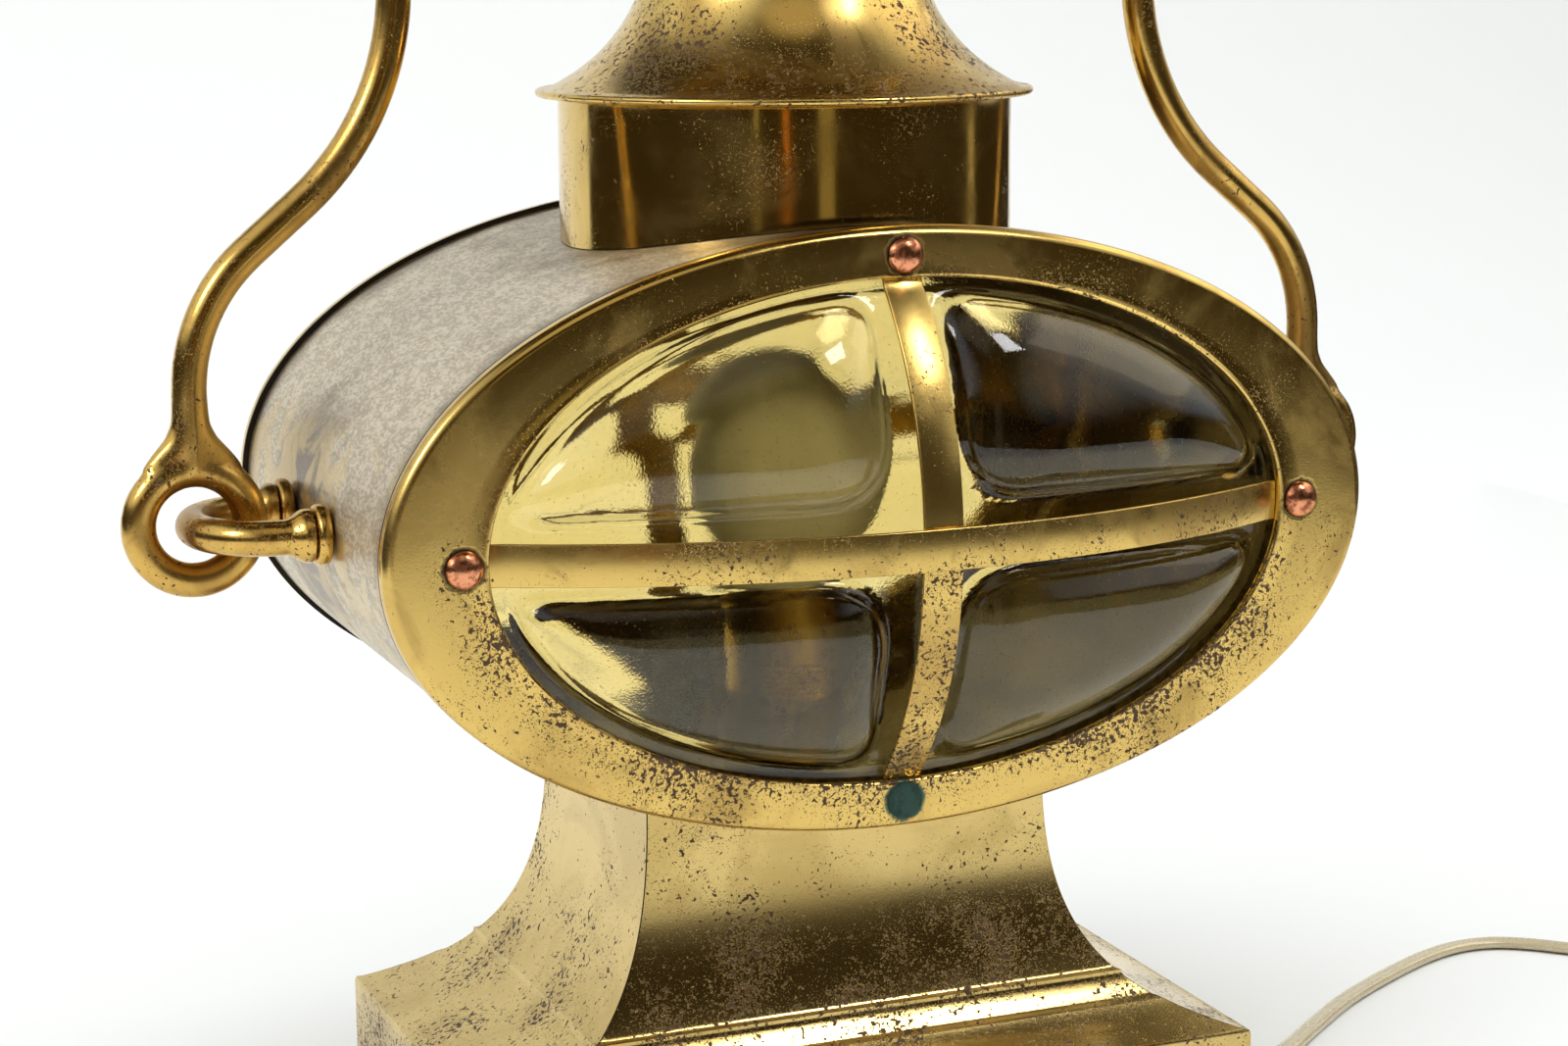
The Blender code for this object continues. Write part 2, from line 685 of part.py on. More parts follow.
def build_hood(brass, parent_name):
    """The hood, its spigot, vent ring, cap and finial, which lift off together."""
    lift_point = Vector((0.0, 0.0, COLLAR_TOP))
    pieces = [add_object("hood_skirt", turned(hood_profile(), steps=OVAL_STEPS), brass, lift_point)]
    neck_top = hood_outside()[0][1] + seat_lift()
    outer = COLLAR_RADIUS - SHEET - CLEARANCE
    inner = outer - HOOD_SHEET
    top = hood_underside_at(outer) + seat_lift() - CLEARANCE
    low = COLLAR_TOP - SPIGOT_LENGTH
    spigot = turned(((outer, low), (outer, top), (inner, top), (inner, low)), steps=OVAL_STEPS)
    pieces.append(add_object("hood_spigot", spigot, brass, lift_point))

    ring_outer = HOOD_NECK_RADIUS - HOOD_SHEET - CLEARANCE
    ring_inner = ring_outer - HOOD_SHEET
    ring_low = neck_top - VENT_RING_SINK
    ring_top = ring_low + VENT_RING_HEIGHT
    section = ((ring_outer, ring_low), (ring_outer, ring_top), (ring_inner, ring_top), (ring_inner, ring_low))
    vent = add_object("vent_ring", turned(section), brass, lift_point)
    boolean(vent, vent_hole_cutter((neck_top + ring_top - CAP_SKIRT) / 2))
    pieces.append(vent)

    pieces.append(add_object("chimney_cap", turned(cap_profile(ring_top + CLEARANCE)), brass, lift_point))
    finial = turned(finial_profile(ring_top + CLEARANCE), steps=16)
    pieces.append(add_object("cap_finial", finial, brass, lift_point))
    group_under_empty(parent_name, lift_point, pieces)


def vent_hole_cutter(height):
    """Round vents all the way round the ring."""
    holes = []
    for index in range(VENT_HOLE_COUNT):
        angle = 2 * math.pi * index / VENT_HOLE_COUNT
        near = HOOD_NECK_RADIUS - BORE_OVERRUN
        far = HOOD_NECK_RADIUS + BORE_OVERRUN
        profile = ((0.0, near), (VENT_HOLE_RADIUS, near), (VENT_HOLE_RADIUS, far), (0.0, far))
        direction = (math.cos(angle), math.sin(angle), 0.0)
        holes.append(turned(profile, frame_at((0.0, 0.0, height), direction), SMALL_STEPS))
    return make_cutter("vent_holes", holes)


def cap_outside(seat, radius):
    """Points of the cap's dome outside, from the stem hole down to the skirt's lower edge."""
    hole = FINIAL_STEM_RADIUS + CLEARANCE
    points = []
    steps = 7
    for index in range(steps + 1):
        share = index / steps
        reach = hole + (radius - hole) * math.sin(share * math.pi / 2)
        height = seat + CAP_DOME * math.cos(share * math.pi / 2) ** 1.3
        points.append((reach, height))
    points.append((radius, seat - CAP_SKIRT))
    return points


def cap_seat_radius():
    """Where the vent ring meets the cap from below."""
    return HOOD_NECK_RADIUS - HOOD_SHEET - CLEARANCE


def cap_profile(ring_top):
    """The closed section of the cap, placed so that its underside rests on the vent ring."""
    outside = cap_outside(0.0, CAP_RADIUS)
    inside = inset_profile(outside, HOOD_SHEET)
    nearest = min(inside, key=lambda point: abs(point[0] - cap_seat_radius()))
    rest = ring_top - nearest[1] + 0.0008
    return [(radius, height + rest) for radius, height in outside + inside[::-1]]


def finial_profile(ring_top):
    """A ball on a stem, riveted over under the cap."""
    section = cap_profile(ring_top)
    top = section[0][1]
    under = section[-1][1]
    ball = top + CLEARANCE + FINIAL_RADIUS * 1.25
    profile = [(0.0, under - 0.0018), (FINIAL_STEM_RADIUS * 1.7, under - 0.0018)]
    profile += [(FINIAL_STEM_RADIUS * 1.7, under - CLEARANCE), (FINIAL_STEM_RADIUS, under - CLEARANCE)]
    profile += [(FINIAL_STEM_RADIUS, top + CLEARANCE), (FINIAL_STEM_RADIUS * 1.6, top + CLEARANCE)]
    for index in range(6):
        angle = math.radians(-55.0 + 145.0 * index / 6)
        profile.append((FINIAL_RADIUS * math.cos(angle), ball + FINIAL_RADIUS * math.sin(angle)))
    profile.append((0.0, ball + FINIAL_RADIUS))
    return profile


def group_under_empty(name, place, pieces):
    """Parent pieces to an empty on their joint's axis."""
    empty = bpy.data.objects.new(name, None)
    empty.location = place
    bpy.context.scene.collection.objects.link(empty)
    for piece in pieces:
        piece.parent = empty
        piece.location = (0.0, 0.0, 0.0)


# ---------------------------------------------------------------- bail and staples

def bend_angle():
    """The turn of the two bends that take an arm from the eye in to the arch."""
    inset = EYE_X - BAIL_ARCH_RADIUS
    low = -math.pi / 2
    high = math.pi / 2
    for _ in range(60):
        middle = (low + high) / 2
        curve = (1 - math.cos(middle)) * math.copysign(1.0, middle)
        shift = (BAIL_LOWER_BEND + BAIL_UPPER_BEND) * curve + BAIL_SLANT * math.sin(middle)
        if shift < inset:
            low = middle
        else:
            high = middle
    return (low + high) / 2


def bail_arm():
    """The right arm's middle line as (x, height above the drum's axis), from the eye to the arch."""
    turn = bend_angle()
    way = math.copysign(1.0, turn)
    size = abs(turn)
    points = [(EYE_X, EYE_RISE + EYE_RADIUS), (EYE_X, (BAIL_SHANK_TOP + EYE_RISE + EYE_RADIUS) / 2)]
    x = EYE_X
    height = BAIL_SHANK_TOP
    for index in range(6):
        angle = size * index / 5
        shift = BAIL_LOWER_BEND * (1 - math.cos(angle))
        points.append((x - way * shift, height + BAIL_LOWER_BEND * math.sin(angle)))
    x = points[-1][0] - way * BAIL_SLANT * math.sin(size)
    height = points[-1][1] + BAIL_SLANT * math.cos(size)
    end_x = x - way * BAIL_UPPER_BEND * (1 - math.cos(size))
    end_height = height + BAIL_UPPER_BEND * math.sin(size)
    for index in range(7):
        angle = size * (1 - index / 6)
        points.append((end_x + way * BAIL_UPPER_BEND * (1 - math.cos(angle)),
                       end_height - BAIL_UPPER_BEND * math.sin(angle)))
    return points


def bail_line():
    """The whole bail's middle line from the right eye over the arch to the left eye."""
    arm = [Vector((x, 0.0, AXIS_Z + height)) for x, height in bail_arm()]
    spring = max(BAIL_ARCH_SPRING, bail_arm()[-1][1] + ROD_RADIUS)
    centre = Vector((0.0, 0.0, AXIS_Z + spring))
    start = centre + Vector((BAIL_ARCH_RADIUS, 0.0, 0.0))
    arch = [start] + arc(centre, BAIL_ARCH_RADIUS, 0.0, math.pi, 16, Vector((1, 0, 0)), Vector((0, 0, 1)))
    other = [Vector((-point.x, 0.0, point.z)) for point in reversed(arm)]
    return arm + arch + other


def eye_ring(side):
    """A ring of the bail's rod in the plane of the bail."""
    section = []
    for index in range(8):
        angle = 2 * math.pi * index / 8
        section.append((EYE_RADIUS + ROD_RADIUS * math.cos(angle), ROD_RADIUS * math.sin(angle)))
    place = (side * EYE_X, 0.0, AXIS_Z + EYE_RISE)
    return turned(section, frame_at(place, (0, 1, 0)), 20)


def build_bail(brass):
    """The bail: one bent rod with an eye forged on each end."""
    line = bail_line()
    mesh = swept(line, [ROD_RADIUS] * len(line), Vector((0, 1, 0)), steps=10)
    bail = add_object("bail_handle", mesh, brass, PIVOT.copy())
    for name, side in (("left", -1), ("right", 1)):
        boolean(bail, make_cutter("bail_eye_" + name, [eye_ring(side)]), "UNION")


def washer_face():
    """Distance from the middle of the drum to the outer face of a staple's washer."""
    return DRUM_HALF_WIDTH + CLEARANCE + WASHER_THICKNESS


def nut_face():
    """Distance from the middle to the outer face of a staple's nut, clear of the curved wall."""
    wide = DRUM_HALF_WIDTH - SHEET
    high = DRUM_HALF_HEIGHT - SHEET
    return wide * math.sqrt(1.0 - (NUT_RADIUS / high) ** 2) - 2 * CLEARANCE


def staple_line():
    """The right staple's middle line and radii, from one stud's end round to the other's."""
    foot = washer_face() + CLEARANCE
    bend = EYE_X - STAPLE_HALF_SPREAD
    stud_end = nut_face() - NUT_THICKNESS - STUD_OVERRUN
    half = [(stud_end, STUD_RADIUS), (foot, STUD_RADIUS), (foot, STAPLE_FOOT_RADIUS),
            (foot + 0.3 * STAPLE_FOOT_LENGTH, STAPLE_FOOT_RADIUS), (foot + STAPLE_FOOT_LENGTH, ROD_RADIUS)]
    points = [Vector((x, -STAPLE_HALF_SPREAD, AXIS_Z)) for x, _ in half]
    radii = [radius for _, radius in half]
    bend = max(bend, foot + STAPLE_FOOT_LENGTH + 0.0005)
    centre = Vector((bend, 0.0, AXIS_Z))
    points.append(Vector((bend, -STAPLE_HALF_SPREAD, AXIS_Z)))
    crown = []
    for index in range(1, 13):
        angle = -math.pi / 2 + math.pi * index / 12
        offset = Vector(((EYE_X - bend) * math.cos(angle), STAPLE_HALF_SPREAD * math.sin(angle), 0.0))
        crown.append(centre + offset)
    points += crown
    radii += [ROD_RADIUS] * 13
    points += [Vector((x, STAPLE_HALF_SPREAD, AXIS_Z)) for x, _ in reversed(half)]
    radii += [radius for _, radius in reversed(half)]
    return points, radii


def staple_rings(side):
    """Rings of the staple, square to X on its legs and square to the curve round its crown."""
    points, radii = staple_line()
    rings = []
    last = len(points) - 1
    for index, (point, radius) in enumerate(zip(points, radii)):
        if index < 6:
            way = Vector((1, 0, 0))
        elif index > last - 5:
            way = Vector((-1, 0, 0))
        else:
            way = (points[index + 1] - points[index - 1]).normalized()
        outward = way.cross(Vector((0, 0, 1)))
        ring = []
        for step in range(10):
            angle = 2 * math.pi * step / 10
            place = point + radius * (outward * math.cos(angle) + Vector((0, 0, 1)) * math.sin(angle))
            ring.append(Vector((side * place.x, place.y, place.z)))
        rings.append(ring)
    return rings


def build_staples(brass, steel):
    """The two staples that carry the bail, each with two washers outside and two nuts inside."""
    for name, side in (("left", -1), ("right", 1)):
        add_object("staple_" + name, loft(staple_rings(side)), brass)
        for depth, y in (("front", -STAPLE_HALF_SPREAD), ("rear", STAPLE_HALF_SPREAD)):
            bore = STUD_RADIUS + CLEARANCE
            low = DRUM_HALF_WIDTH + CLEARANCE
            high = washer_face()
            section = ((bore, low), (bore, high), (WASHER_RADIUS * 0.9, high), (WASHER_RADIUS, high - 0.001),
                       (WASHER_RADIUS, low))
            frame = frame_at((0.0, y, AXIS_Z), (side, 0, 0))
            add_object("staple_washer_%s_%s" % (name, depth), turned(section, frame, 12), brass)
            add_object("staple_nut_%s_%s" % (name, depth),
                       hex_nut(NUT_RADIUS, bore, nut_face() - NUT_THICKNESS, nut_face(), frame), steel)


def hex_nut(radius, bore, low, high, frame):
    """A six-sided nut along +Z of a frame, its bore round."""
    steps = 12
    outer = []
    inner = []
    for index in range(steps):
        angle = 2 * math.pi * index / steps
        within = (angle % (math.pi / 3)) - math.pi / 6
        reach = radius * math.cos(math.pi / 6) / math.cos(within)
        outer.append(Vector((reach * math.cos(angle), reach * math.sin(angle), 0.0)))
        inner.append(Vector((bore * math.cos(angle), bore * math.sin(angle), 0.0)))
    rings = [[point + Vector((0, 0, height)) for point in ring]
             for ring, height in ((outer, low), (outer, high), (inner, high), (inner, low))]
    mesh = loft(rings, loop=True)
    mesh.transform(frame)
    return mesh


# ---------------------------------------------------------------- pedestal

def flare_outline():
    """The pedestal's outside as (share of the flare, height), from below the drum down to the felt."""
    controls = (
        (0.0, FLARE_TOP),
        (0.0, PLINTH_TOP + 0.366 * FLARE_HEIGHT),
        (0.337, PLINTH_TOP + 0.128 * FLARE_HEIGHT),
        (1.0, PLINTH_TOP),
    )
    steps = 10
    outline = [bezier(controls, index / steps) for index in range(1, steps + 1)]
    outline.append((1.0, FELT_THICKNESS + CLEARANCE))
    return outline


def inner_line(outline, flare):
    """How far the inside lies from each point of the outline, as (inward, down)."""
    shifts = []
    last = len(outline) - 1
    for index in range(len(outline)):
        normals = []
        for first, second in ((index - 1, index), (index, index + 1)):
            if first < 0 or second > last:
                continue
            run = (outline[second][0] - outline[first][0]) * flare
            drop = outline[second][1] - outline[first][1]
            length = math.hypot(run, drop)
            normals.append((-drop / length, run / length))
        mean = Vector((sum(n[0] for n in normals), sum(n[1] for n in normals))).normalized()
        scale = SHEET / max(0.4, mean.x * normals[0][0] + mean.y * normals[0][1])
        shifts.append((mean.x * scale, mean.y * scale))
    return shifts


def panel_rows(facing_y, sign):
    """Outer and inner rows of points of one pedestal panel, from the drum down."""
    near, far = NECK_TOP_HALF_WIDTH, NECK_TOP_HALF_DEPTH
    out_flare, side_flare = FLARE_WIDTH, FLARE_DEPTH
    if facing_y:
        near, far = far, near
        out_flare, side_flare = side_flare, out_flare
    ratio = side_flare / out_flare
    seam = CLEARANCE / 2 * math.hypot(1.0, ratio)
    columns = 8

    def row(out, height, on_drum):
        half = far + (out - near) * ratio - seam
        points = []
        for index in range(columns + 1):
            along = half * (2 * index / columns - 1)
            x, y = (along, sign * out) if facing_y else (sign * out, along)
            z = AXIS_Z - drum_height_at(x, CLEARANCE) if on_drum else height
            points.append(Vector((x, y, z)))
        return points

    outline = flare_outline()
    shifts = inner_line(outline, out_flare)
    outer = [row(near, 0.0, True)]
    inner = [row(near - SHEET, 0.0, True)]
    for (share, height), (inward, down) in zip(outline, shifts):
        out = near + share * out_flare
        outer.append(row(out, height, False))
        inner.append(row(out - inward, height - down, False))
    inner[-1] = row(near + out_flare - SHEET, outline[-1][1], False)
    return outer, inner


def panel_mesh(outer, inner):
    """Close the two faces of a panel with its four edges."""
    mesh = bmesh.new()
    faces = [[[mesh.verts.new(point) for point in row] for row in grid] for grid in (outer, inner)]
    rows = len(outer)
    columns = len(outer[0])
    for grid in faces:
        for row in range(rows - 1):
            for column in range(columns - 1):
                mesh.faces.new((grid[row][column], grid[row][column + 1],
                                grid[row + 1][column + 1], grid[row + 1][column]))
    front, back = faces
    for row in (0, rows - 1):
        for column in range(columns - 1):
            mesh.faces.new((front[row][column], front[row][column + 1],
                            back[row][column + 1], back[row][column]))
    for column in (0, columns - 1):
        for row in range(rows - 1):
            mesh.faces.new((front[row][column], front[row + 1][column],
                            back[row + 1][column], back[row][column]))
    return mesh


def build_pedestal(brass, plate, felt, pipe_cutter):
    """Four mitred panels on a base plate, with felt under them."""
    bore = BUSHING_RADIUS + CLEARANCE
    through = 2 * BORE_OVERRUN
    profile = ((0.0, -through), (bore, -through), (bore, through), (0.0, through))
    frame = frame_at((plinth_side(), CORD_EXIT_Y, CORD_EXIT_Z), (1, 0, 0))
    bushing_cutter = make_cutter("bushing_hole", [turned(profile, frame, 20)])
    sides = (("front", True, -1), ("rear", True, 1), ("left", False, -1), ("right", False, 1))
    for name, facing_y, sign in sides:
        outer, inner = panel_rows(facing_y, sign)
        panel = add_object("pedestal_%s_panel" % name, panel_mesh(outer, inner), brass)
        if name == "right":
            boolean(panel, bushing_cutter)
    wide = plinth_side() - SHEET - CLEARANCE
    deep = plinth_front() - SHEET - CLEARANCE
    low = BASE_PLATE_HEIGHT
    base_body = box((-wide, -deep, low), (wide, deep, low + BASE_PLATE_THICKNESS))
    base = add_object("base_plate", base_body, plate)
    boolean(base, pipe_cutter)
    felt_low = (-plinth_side(), -plinth_front(), 0.0)
    felt_high = (plinth_side(), plinth_front(), FELT_THICKNESS)
    add_object("felt_pad", box(felt_low, felt_high), felt)


def plinth_side():
    """Half the plinth's width."""
    return NECK_TOP_HALF_WIDTH + FLARE_WIDTH


def plinth_front():
    """Half the plinth's depth."""
    return NECK_TOP_HALF_DEPTH + FLARE_DEPTH


# ---------------------------------------------------------------- lamp works

def drum_floor():
    """Height of the inside of the drum's floor."""
    return AXIS_Z - DRUM_HALF_HEIGHT + SHEET


def socket_base():
    """Height of the underside of the socket's cup."""
    return drum_floor() + CLEARANCE + PIPE_NUT_THICKNESS + SOCKET_LIFT


def build_lamp_pipe(steel):
    """The threaded pipe that clamps the drum to the base plate, and its nuts."""
    low = BASE_PLATE_HEIGHT - PIPE_NUT_THICKNESS - 2 * CLEARANCE
    high = socket_base() + 0.6 * SOCKET_CUP_HEIGHT
    section = ((PIPE_RADIUS, low), (PIPE_RADIUS, high), (PIPE_BORE, high), (PIPE_BORE, low))
    add_object("lamp_pipe", turned(section, steps=16), steel)
    bore = PIPE_RADIUS + CLEARANCE
    rise = (PIPE_NUT_RADIUS / DRUM_HALF_WIDTH) ** 2 * DRUM_HALF_HEIGHT / 2
    floor = drum_floor() + rise + 2 * CLEARANCE
    under = BASE_PLATE_HEIGHT - CLEARANCE - PIPE_NUT_THICKNESS
    for name, bottom in (("pipe_upper_nut", floor), ("pipe_lower_nut", under)):
        level = Matrix.Identity(4)
        nut = hex_nut(PIPE_NUT_RADIUS, bore, bottom, bottom + PIPE_NUT_THICKNESS, level)
        add_object(name, nut, steel)


def build_socket(brass, porcelain, phenolic):
    """The lamp socket: cup, shell, porcelain inside and the switch knob."""
    low = socket_base()
    bore = PIPE_RADIUS + CLEARANCE
    edge = low + SOCKET_CUP_HEIGHT
    wall = SOCKET_SHEET
    shoulder = low + 0.6 * SOCKET_CUP_HEIGHT
    foot = 0.6 * SOCKET_RADIUS
    inside = SOCKET_RADIUS - wall
    cup = ((bore, low), (foot, low), (SOCKET_RADIUS, shoulder), (SOCKET_RADIUS, edge),
           (inside, edge), (inside, shoulder + wall), (foot - wall, low + wall), (bore, low + wall))
    add_object("socket_cup", turned(cup, steps=24), brass)
    shell_low = edge + CLEARANCE
    shell_top = shell_low + SOCKET_SHELL_HEIGHT
    shell_wall = ((SOCKET_RADIUS, shell_low), (SOCKET_RADIUS, shell_top), (SOCKET_RADIUS - wall, shell_top),
                  (SOCKET_RADIUS - wall, shell_low))
    shell = add_object("socket_shell", turned(shell_wall, steps=24), brass)
    outer = SOCKET_RADIUS - wall - CLEARANCE
    inner = BULB_BASE_RADIUS + CLEARANCE
    floor = shell_low + 0.4 * SOCKET_SHELL_HEIGHT
    insert = ((0.0, shell_low), (outer, shell_low), (outer, shell_top - 0.001), (inner, shell_top - 0.001),
              (inner, floor), (0.0, floor))
    porcelain_body = add_object("socket_insert", turned(insert, steps=24), porcelain)
    height = shell_low + KNOB_HEIGHT_IN_SHELL
    radius = KNOB_STEM_RADIUS + CLEARANCE
    start = outer - 0.006
    end = SOCKET_RADIUS + 0.002
    profile = ((0.0, start), (radius, start), (radius, end), (0.0, end))
    hole = turned(profile, frame_at((0.0, 0.0, height), (1, 0, 0)), 16)
    stem_cutter = make_cutter("knob_hole", [hole])
    boolean(shell, stem_cutter)
    boolean(porcelain_body, stem_cutter)
    build_knob(start + CLEARANCE, height, phenolic)
    build_bulb(floor, shell_top)


def build_knob(inner_end, height, phenolic):
    """The switch knob, a flat paddle on a round stem, with its origin on the stem's axis."""
    reach = SOCKET_RADIUS + KNOB_STANDOFF

    def ring(x, half_thick, half_high):
        angles = [2 * math.pi * step / 16 for step in range(16)]
        return [Vector((x, half_thick * math.cos(angle), height + half_high * math.sin(angle)))
                for angle in angles]

    rings = [ring(x, KNOB_STEM_RADIUS, KNOB_STEM_RADIUS) for x in (inner_end, reach)]
    for share, breadth in ((0.0, 0.45), (0.25, 0.8), (0.6, 1.0), (0.9, 0.9), (1.0, 0.7)):
        half_high = KNOB_PADDLE_HEIGHT / 2 * breadth
        half_thick = KNOB_PADDLE_THICKNESS / 2 * (0.7 + 0.3 * breadth)
        rings.append(ring(reach + share * KNOB_LENGTH, half_thick, half_high))
    add_object("switch_knob", loft(rings), phenolic, Vector((reach, 0.0, height)))


def build_bulb(floor, shell_top):
    """A frosted globe bulb in the socket."""
    base_low = floor + CLEARANCE
    neck = max(base_low + BULB_BASE_LENGTH, shell_top)
    centre = neck + BULB_NECK_LENGTH + BULB_RADIUS * 0.80
    profile = [(0.0, base_low), (BULB_BASE_RADIUS * 0.6, base_low), (BULB_BASE_RADIUS, base_low + 0.004),
               (BULB_BASE_RADIUS, neck)]
    steps = 8
    start = math.radians(-58.0)
    for index in range(steps):
        angle = start + (math.radians(90.0) - start) * index / steps
        profile.append((BULB_RADIUS * math.cos(angle), centre + BULB_RADIUS * math.sin(angle)))
    profile.append((0.0, centre + BULB_RADIUS))
    add_object("bulb", turned(profile, steps=24), surface("frosted_glass", (0.86, 0.85, 0.80), 0.35))


# ---------------------------------------------------------------- cord

def smooth_route(points, spacing):
    """Points at an even spacing on a smooth curve through the route's own points."""
    places = [Vector(point) for point in points]
    ends = [places[0] * 2 - places[1]] + places + [places[-1] * 2 - places[-2]]
    fine = []
    for index in range(1, len(ends) - 2):
        before, first, second, after = ends[index - 1:index + 3]
        for step in range(24):
            share = step / 24
            fine.append(0.5 * (2 * first + (second - before) * share
                               + (2 * before - 5 * first + 4 * second - after) * share ** 2
                               + (3 * first - before - 3 * second + after) * share ** 3))
    fine.append(places[-1])
    chosen = [fine[0]]
    for point in fine:
        if (point - chosen[-1]).length >= spacing:
            chosen.append(point)
    if (places[-1] - chosen[-1]).length < spacing / 2:
        chosen.pop()
    chosen.append(places[-1])
    return chosen


def cord_curve(name, points, radius, material):
    """A round tube on a poly spline with filled ends."""
    curve = bpy.data.curves.new(name, "CURVE")
    curve.dimensions = "3D"
    curve.bevel_depth = radius
    curve.bevel_resolution = 2
    curve.use_fill_caps = True
    spline = curve.splines.new("POLY")
    spline.points.add(len(points) - 1)
    for point, place in zip(spline.points, points):
        point.co = (*place, 1.0)
    curve.materials.append(material)
    thing = bpy.data.objects.new(name, curve)
    bpy.context.scene.collection.objects.link(thing)


def build_cord(vinyl, phenolic):
    """The bushing, the stretch inside the base, the lead on the floor, and the tied coil."""
    flange_low = plinth_side() + CLEARANCE
    flange_high = flange_low + BUSHING_FLANGE
    back = plinth_side() - SHEET - 0.003
    section = ((BUSHING_BORE, back), (BUSHING_BORE, flange_high), (BUSHING_FLANGE_RADIUS * 0.85, flange_high),
               (BUSHING_FLANGE_RADIUS, flange_high - 0.001), (BUSHING_FLANGE_RADIUS, flange_low),
               (BUSHING_RADIUS, flange_low), (BUSHING_RADIUS, back))
    frame = frame_at((0.0, CORD_EXIT_Y, CORD_EXIT_Z), (1, 0, 0))
    add_object("cord_bushing", turned(section, frame, 16), phenolic)
    inside = ((0.0010, -0.0004, 0.0050), (0.0200, -0.0080, 0.0045), (0.0500, -0.0220, 0.0042),
              (0.0800, -0.0345, 0.0052), (0.0980, -0.0392, 0.0085), (back, CORD_EXIT_Y, CORD_EXIT_Z),
              (flange_high, CORD_EXIT_Y, CORD_EXIT_Z))
    cord_curve("inner_cord", smooth_route(inside, 2.5 * CORD_WIDTH), CORD_THICKNESS / 2, vinyl)
    cord_curve("cord_lead", smooth_route(CORD_ROUTE, 1.3 * CORD_WIDTH), CORD_THICKNESS / 2, vinyl)
    low = TIE_THICKNESS + 2 * CLEARANCE
    high = low + COIL_HEIGHT
    inner = COIL_INNER_RADIUS
    outer = COIL_OUTER_RADIUS
    coil = ((inner, low), (outer, low), (outer, high), (inner, high))
    add_object("cord_coil", turned(coil, frame_at((*COIL_CENTRE, 0.0), (0, 0, 1))), vinyl)
    build_tie(low, high, phenolic)


def build_tie(low, high, phenolic):
    """A flat tie round the turns of the coil."""
    half = TIE_WIDTH / 2
    near = math.sqrt((COIL_INNER_RADIUS * math.cos(math.pi / ROUND_STEPS)) ** 2 - half ** 2)
    rings = []
    for thick in (CLEARANCE, CLEARANCE + TIE_THICKNESS):
        corners = ((near - thick, low - thick), (COIL_OUTER_RADIUS + thick, low - thick),
                   (COIL_OUTER_RADIUS + thick, high + thick), (near - thick, high + thick))
        rings.append(corners)
    inner, outer = rings
    loops = []
    for corners, shift in ((inner, -half), (outer, -half), (outer, half), (inner, half)):
        loops.append([Vector((reach, shift, height)) for reach, height in corners])
    mesh = loft(loops, loop=True)
    mesh.transform(Matrix.Translation((*COIL_CENTRE, 0.0)) @ Matrix.Rotation(TIE_ANGLE, 4, "Z"))
    add_object("coil_tie", mesh, phenolic)


def build_plug(vinyl, brass):
    """A moulded two-blade plug beside the coil, its nose against the last turn."""
    turn_radius = COIL_OUTER_RADIUS - CORD_WIDTH / 2
    nose_start = math.sqrt(COIL_OUTER_RADIUS ** 2 - (turn_radius - PLUG_NOSE_HALF_WIDTH) ** 2) + CLEARANCE
    body_start = nose_start + PLUG_NOSE_LENGTH
    radial = Vector((math.cos(PLUG_ANGLE), math.sin(PLUG_ANGLE), 0.0))
    along = Vector((-math.sin(PLUG_ANGLE), math.cos(PLUG_ANGLE), 0.0))
    centre = Vector((*COIL_CENTRE, 0.0)) + radial * turn_radius
    middle = PLUG_HEIGHT / 2

    def section(run, half_width, half_height):
        points = []
        for step in range(20):
            angle = 2 * math.pi * (step + 0.5) / 20
            wide = math.copysign(abs(math.cos(angle)) ** 0.5, math.cos(angle)) * half_width
            high = math.copysign(abs(math.sin(angle)) ** 0.5, math.sin(angle)) * half_height
            points.append(centre + along * run + radial * wide + Vector((0, 0, middle + high)))
        return points

    end = body_start + PLUG_LENGTH
    wide = PLUG_WIDTH / 2
    nose = PLUG_NOSE_HALF_WIDTH
    rings = [
        section(nose_start, 0.9 * nose, 0.43 * middle),
        section(nose_start + 0.8 * PLUG_NOSE_LENGTH, 1.2 * nose, 0.57 * middle),
        section(body_start, 0.6 * wide, 0.75 * middle),
        section(body_start + 0.25 * PLUG_LENGTH, 0.95 * wide, middle),
        section(end, wide, middle),
    ]
    add_object("plug_body", loft(rings), vinyl)
    thick = BLADE_THICKNESS / 2
    high = BLADE_WIDTH / 2
    for name, sign in (("left", 1), ("right", -1)):
        mesh = box((-thick, 0.0, -high), (thick, BLADE_LENGTH, high))
        basis = Matrix((radial, along, Vector((0, 0, 1)))).transposed().to_4x4()
        place = centre + along * (end + CLEARANCE) + radial * (sign * BLADE_SPACING / 2)
        place.z = middle
        mesh.transform(Matrix.Translation(place) @ basis)
        add_object("plug_blade_" + name, mesh, brass)


# ---------------------------------------------------------------- assembly

def drum_cutters():
    """Holes through the drum: the chimney, the lamp pipe and the four staple studs."""
    chimney = COLLAR_RADIUS - SHEET - CHIMNEY_INSET
    top = AXIS_Z + DRUM_HALF_HEIGHT + BORE_OVERRUN
    shapes = [turned(((0.0, AXIS_Z), (chimney, AXIS_Z), (chimney, top), (0.0, top)), steps=64)]
    bore = STUD_RADIUS + CLEARANCE
    for side in (-1, 1):
        for y in (-STAPLE_HALF_SPREAD, STAPLE_HALF_SPREAD):
            near = DRUM_HALF_WIDTH - BORE_OVERRUN
            far = DRUM_HALF_WIDTH + BORE_OVERRUN
            profile = ((0.0, near), (bore, near), (bore, far), (0.0, far))
            shapes.append(turned(profile, frame_at((0.0, y, AXIS_Z), (side, 0, 0)), 16))
    return make_cutter("drum_holes", shapes)


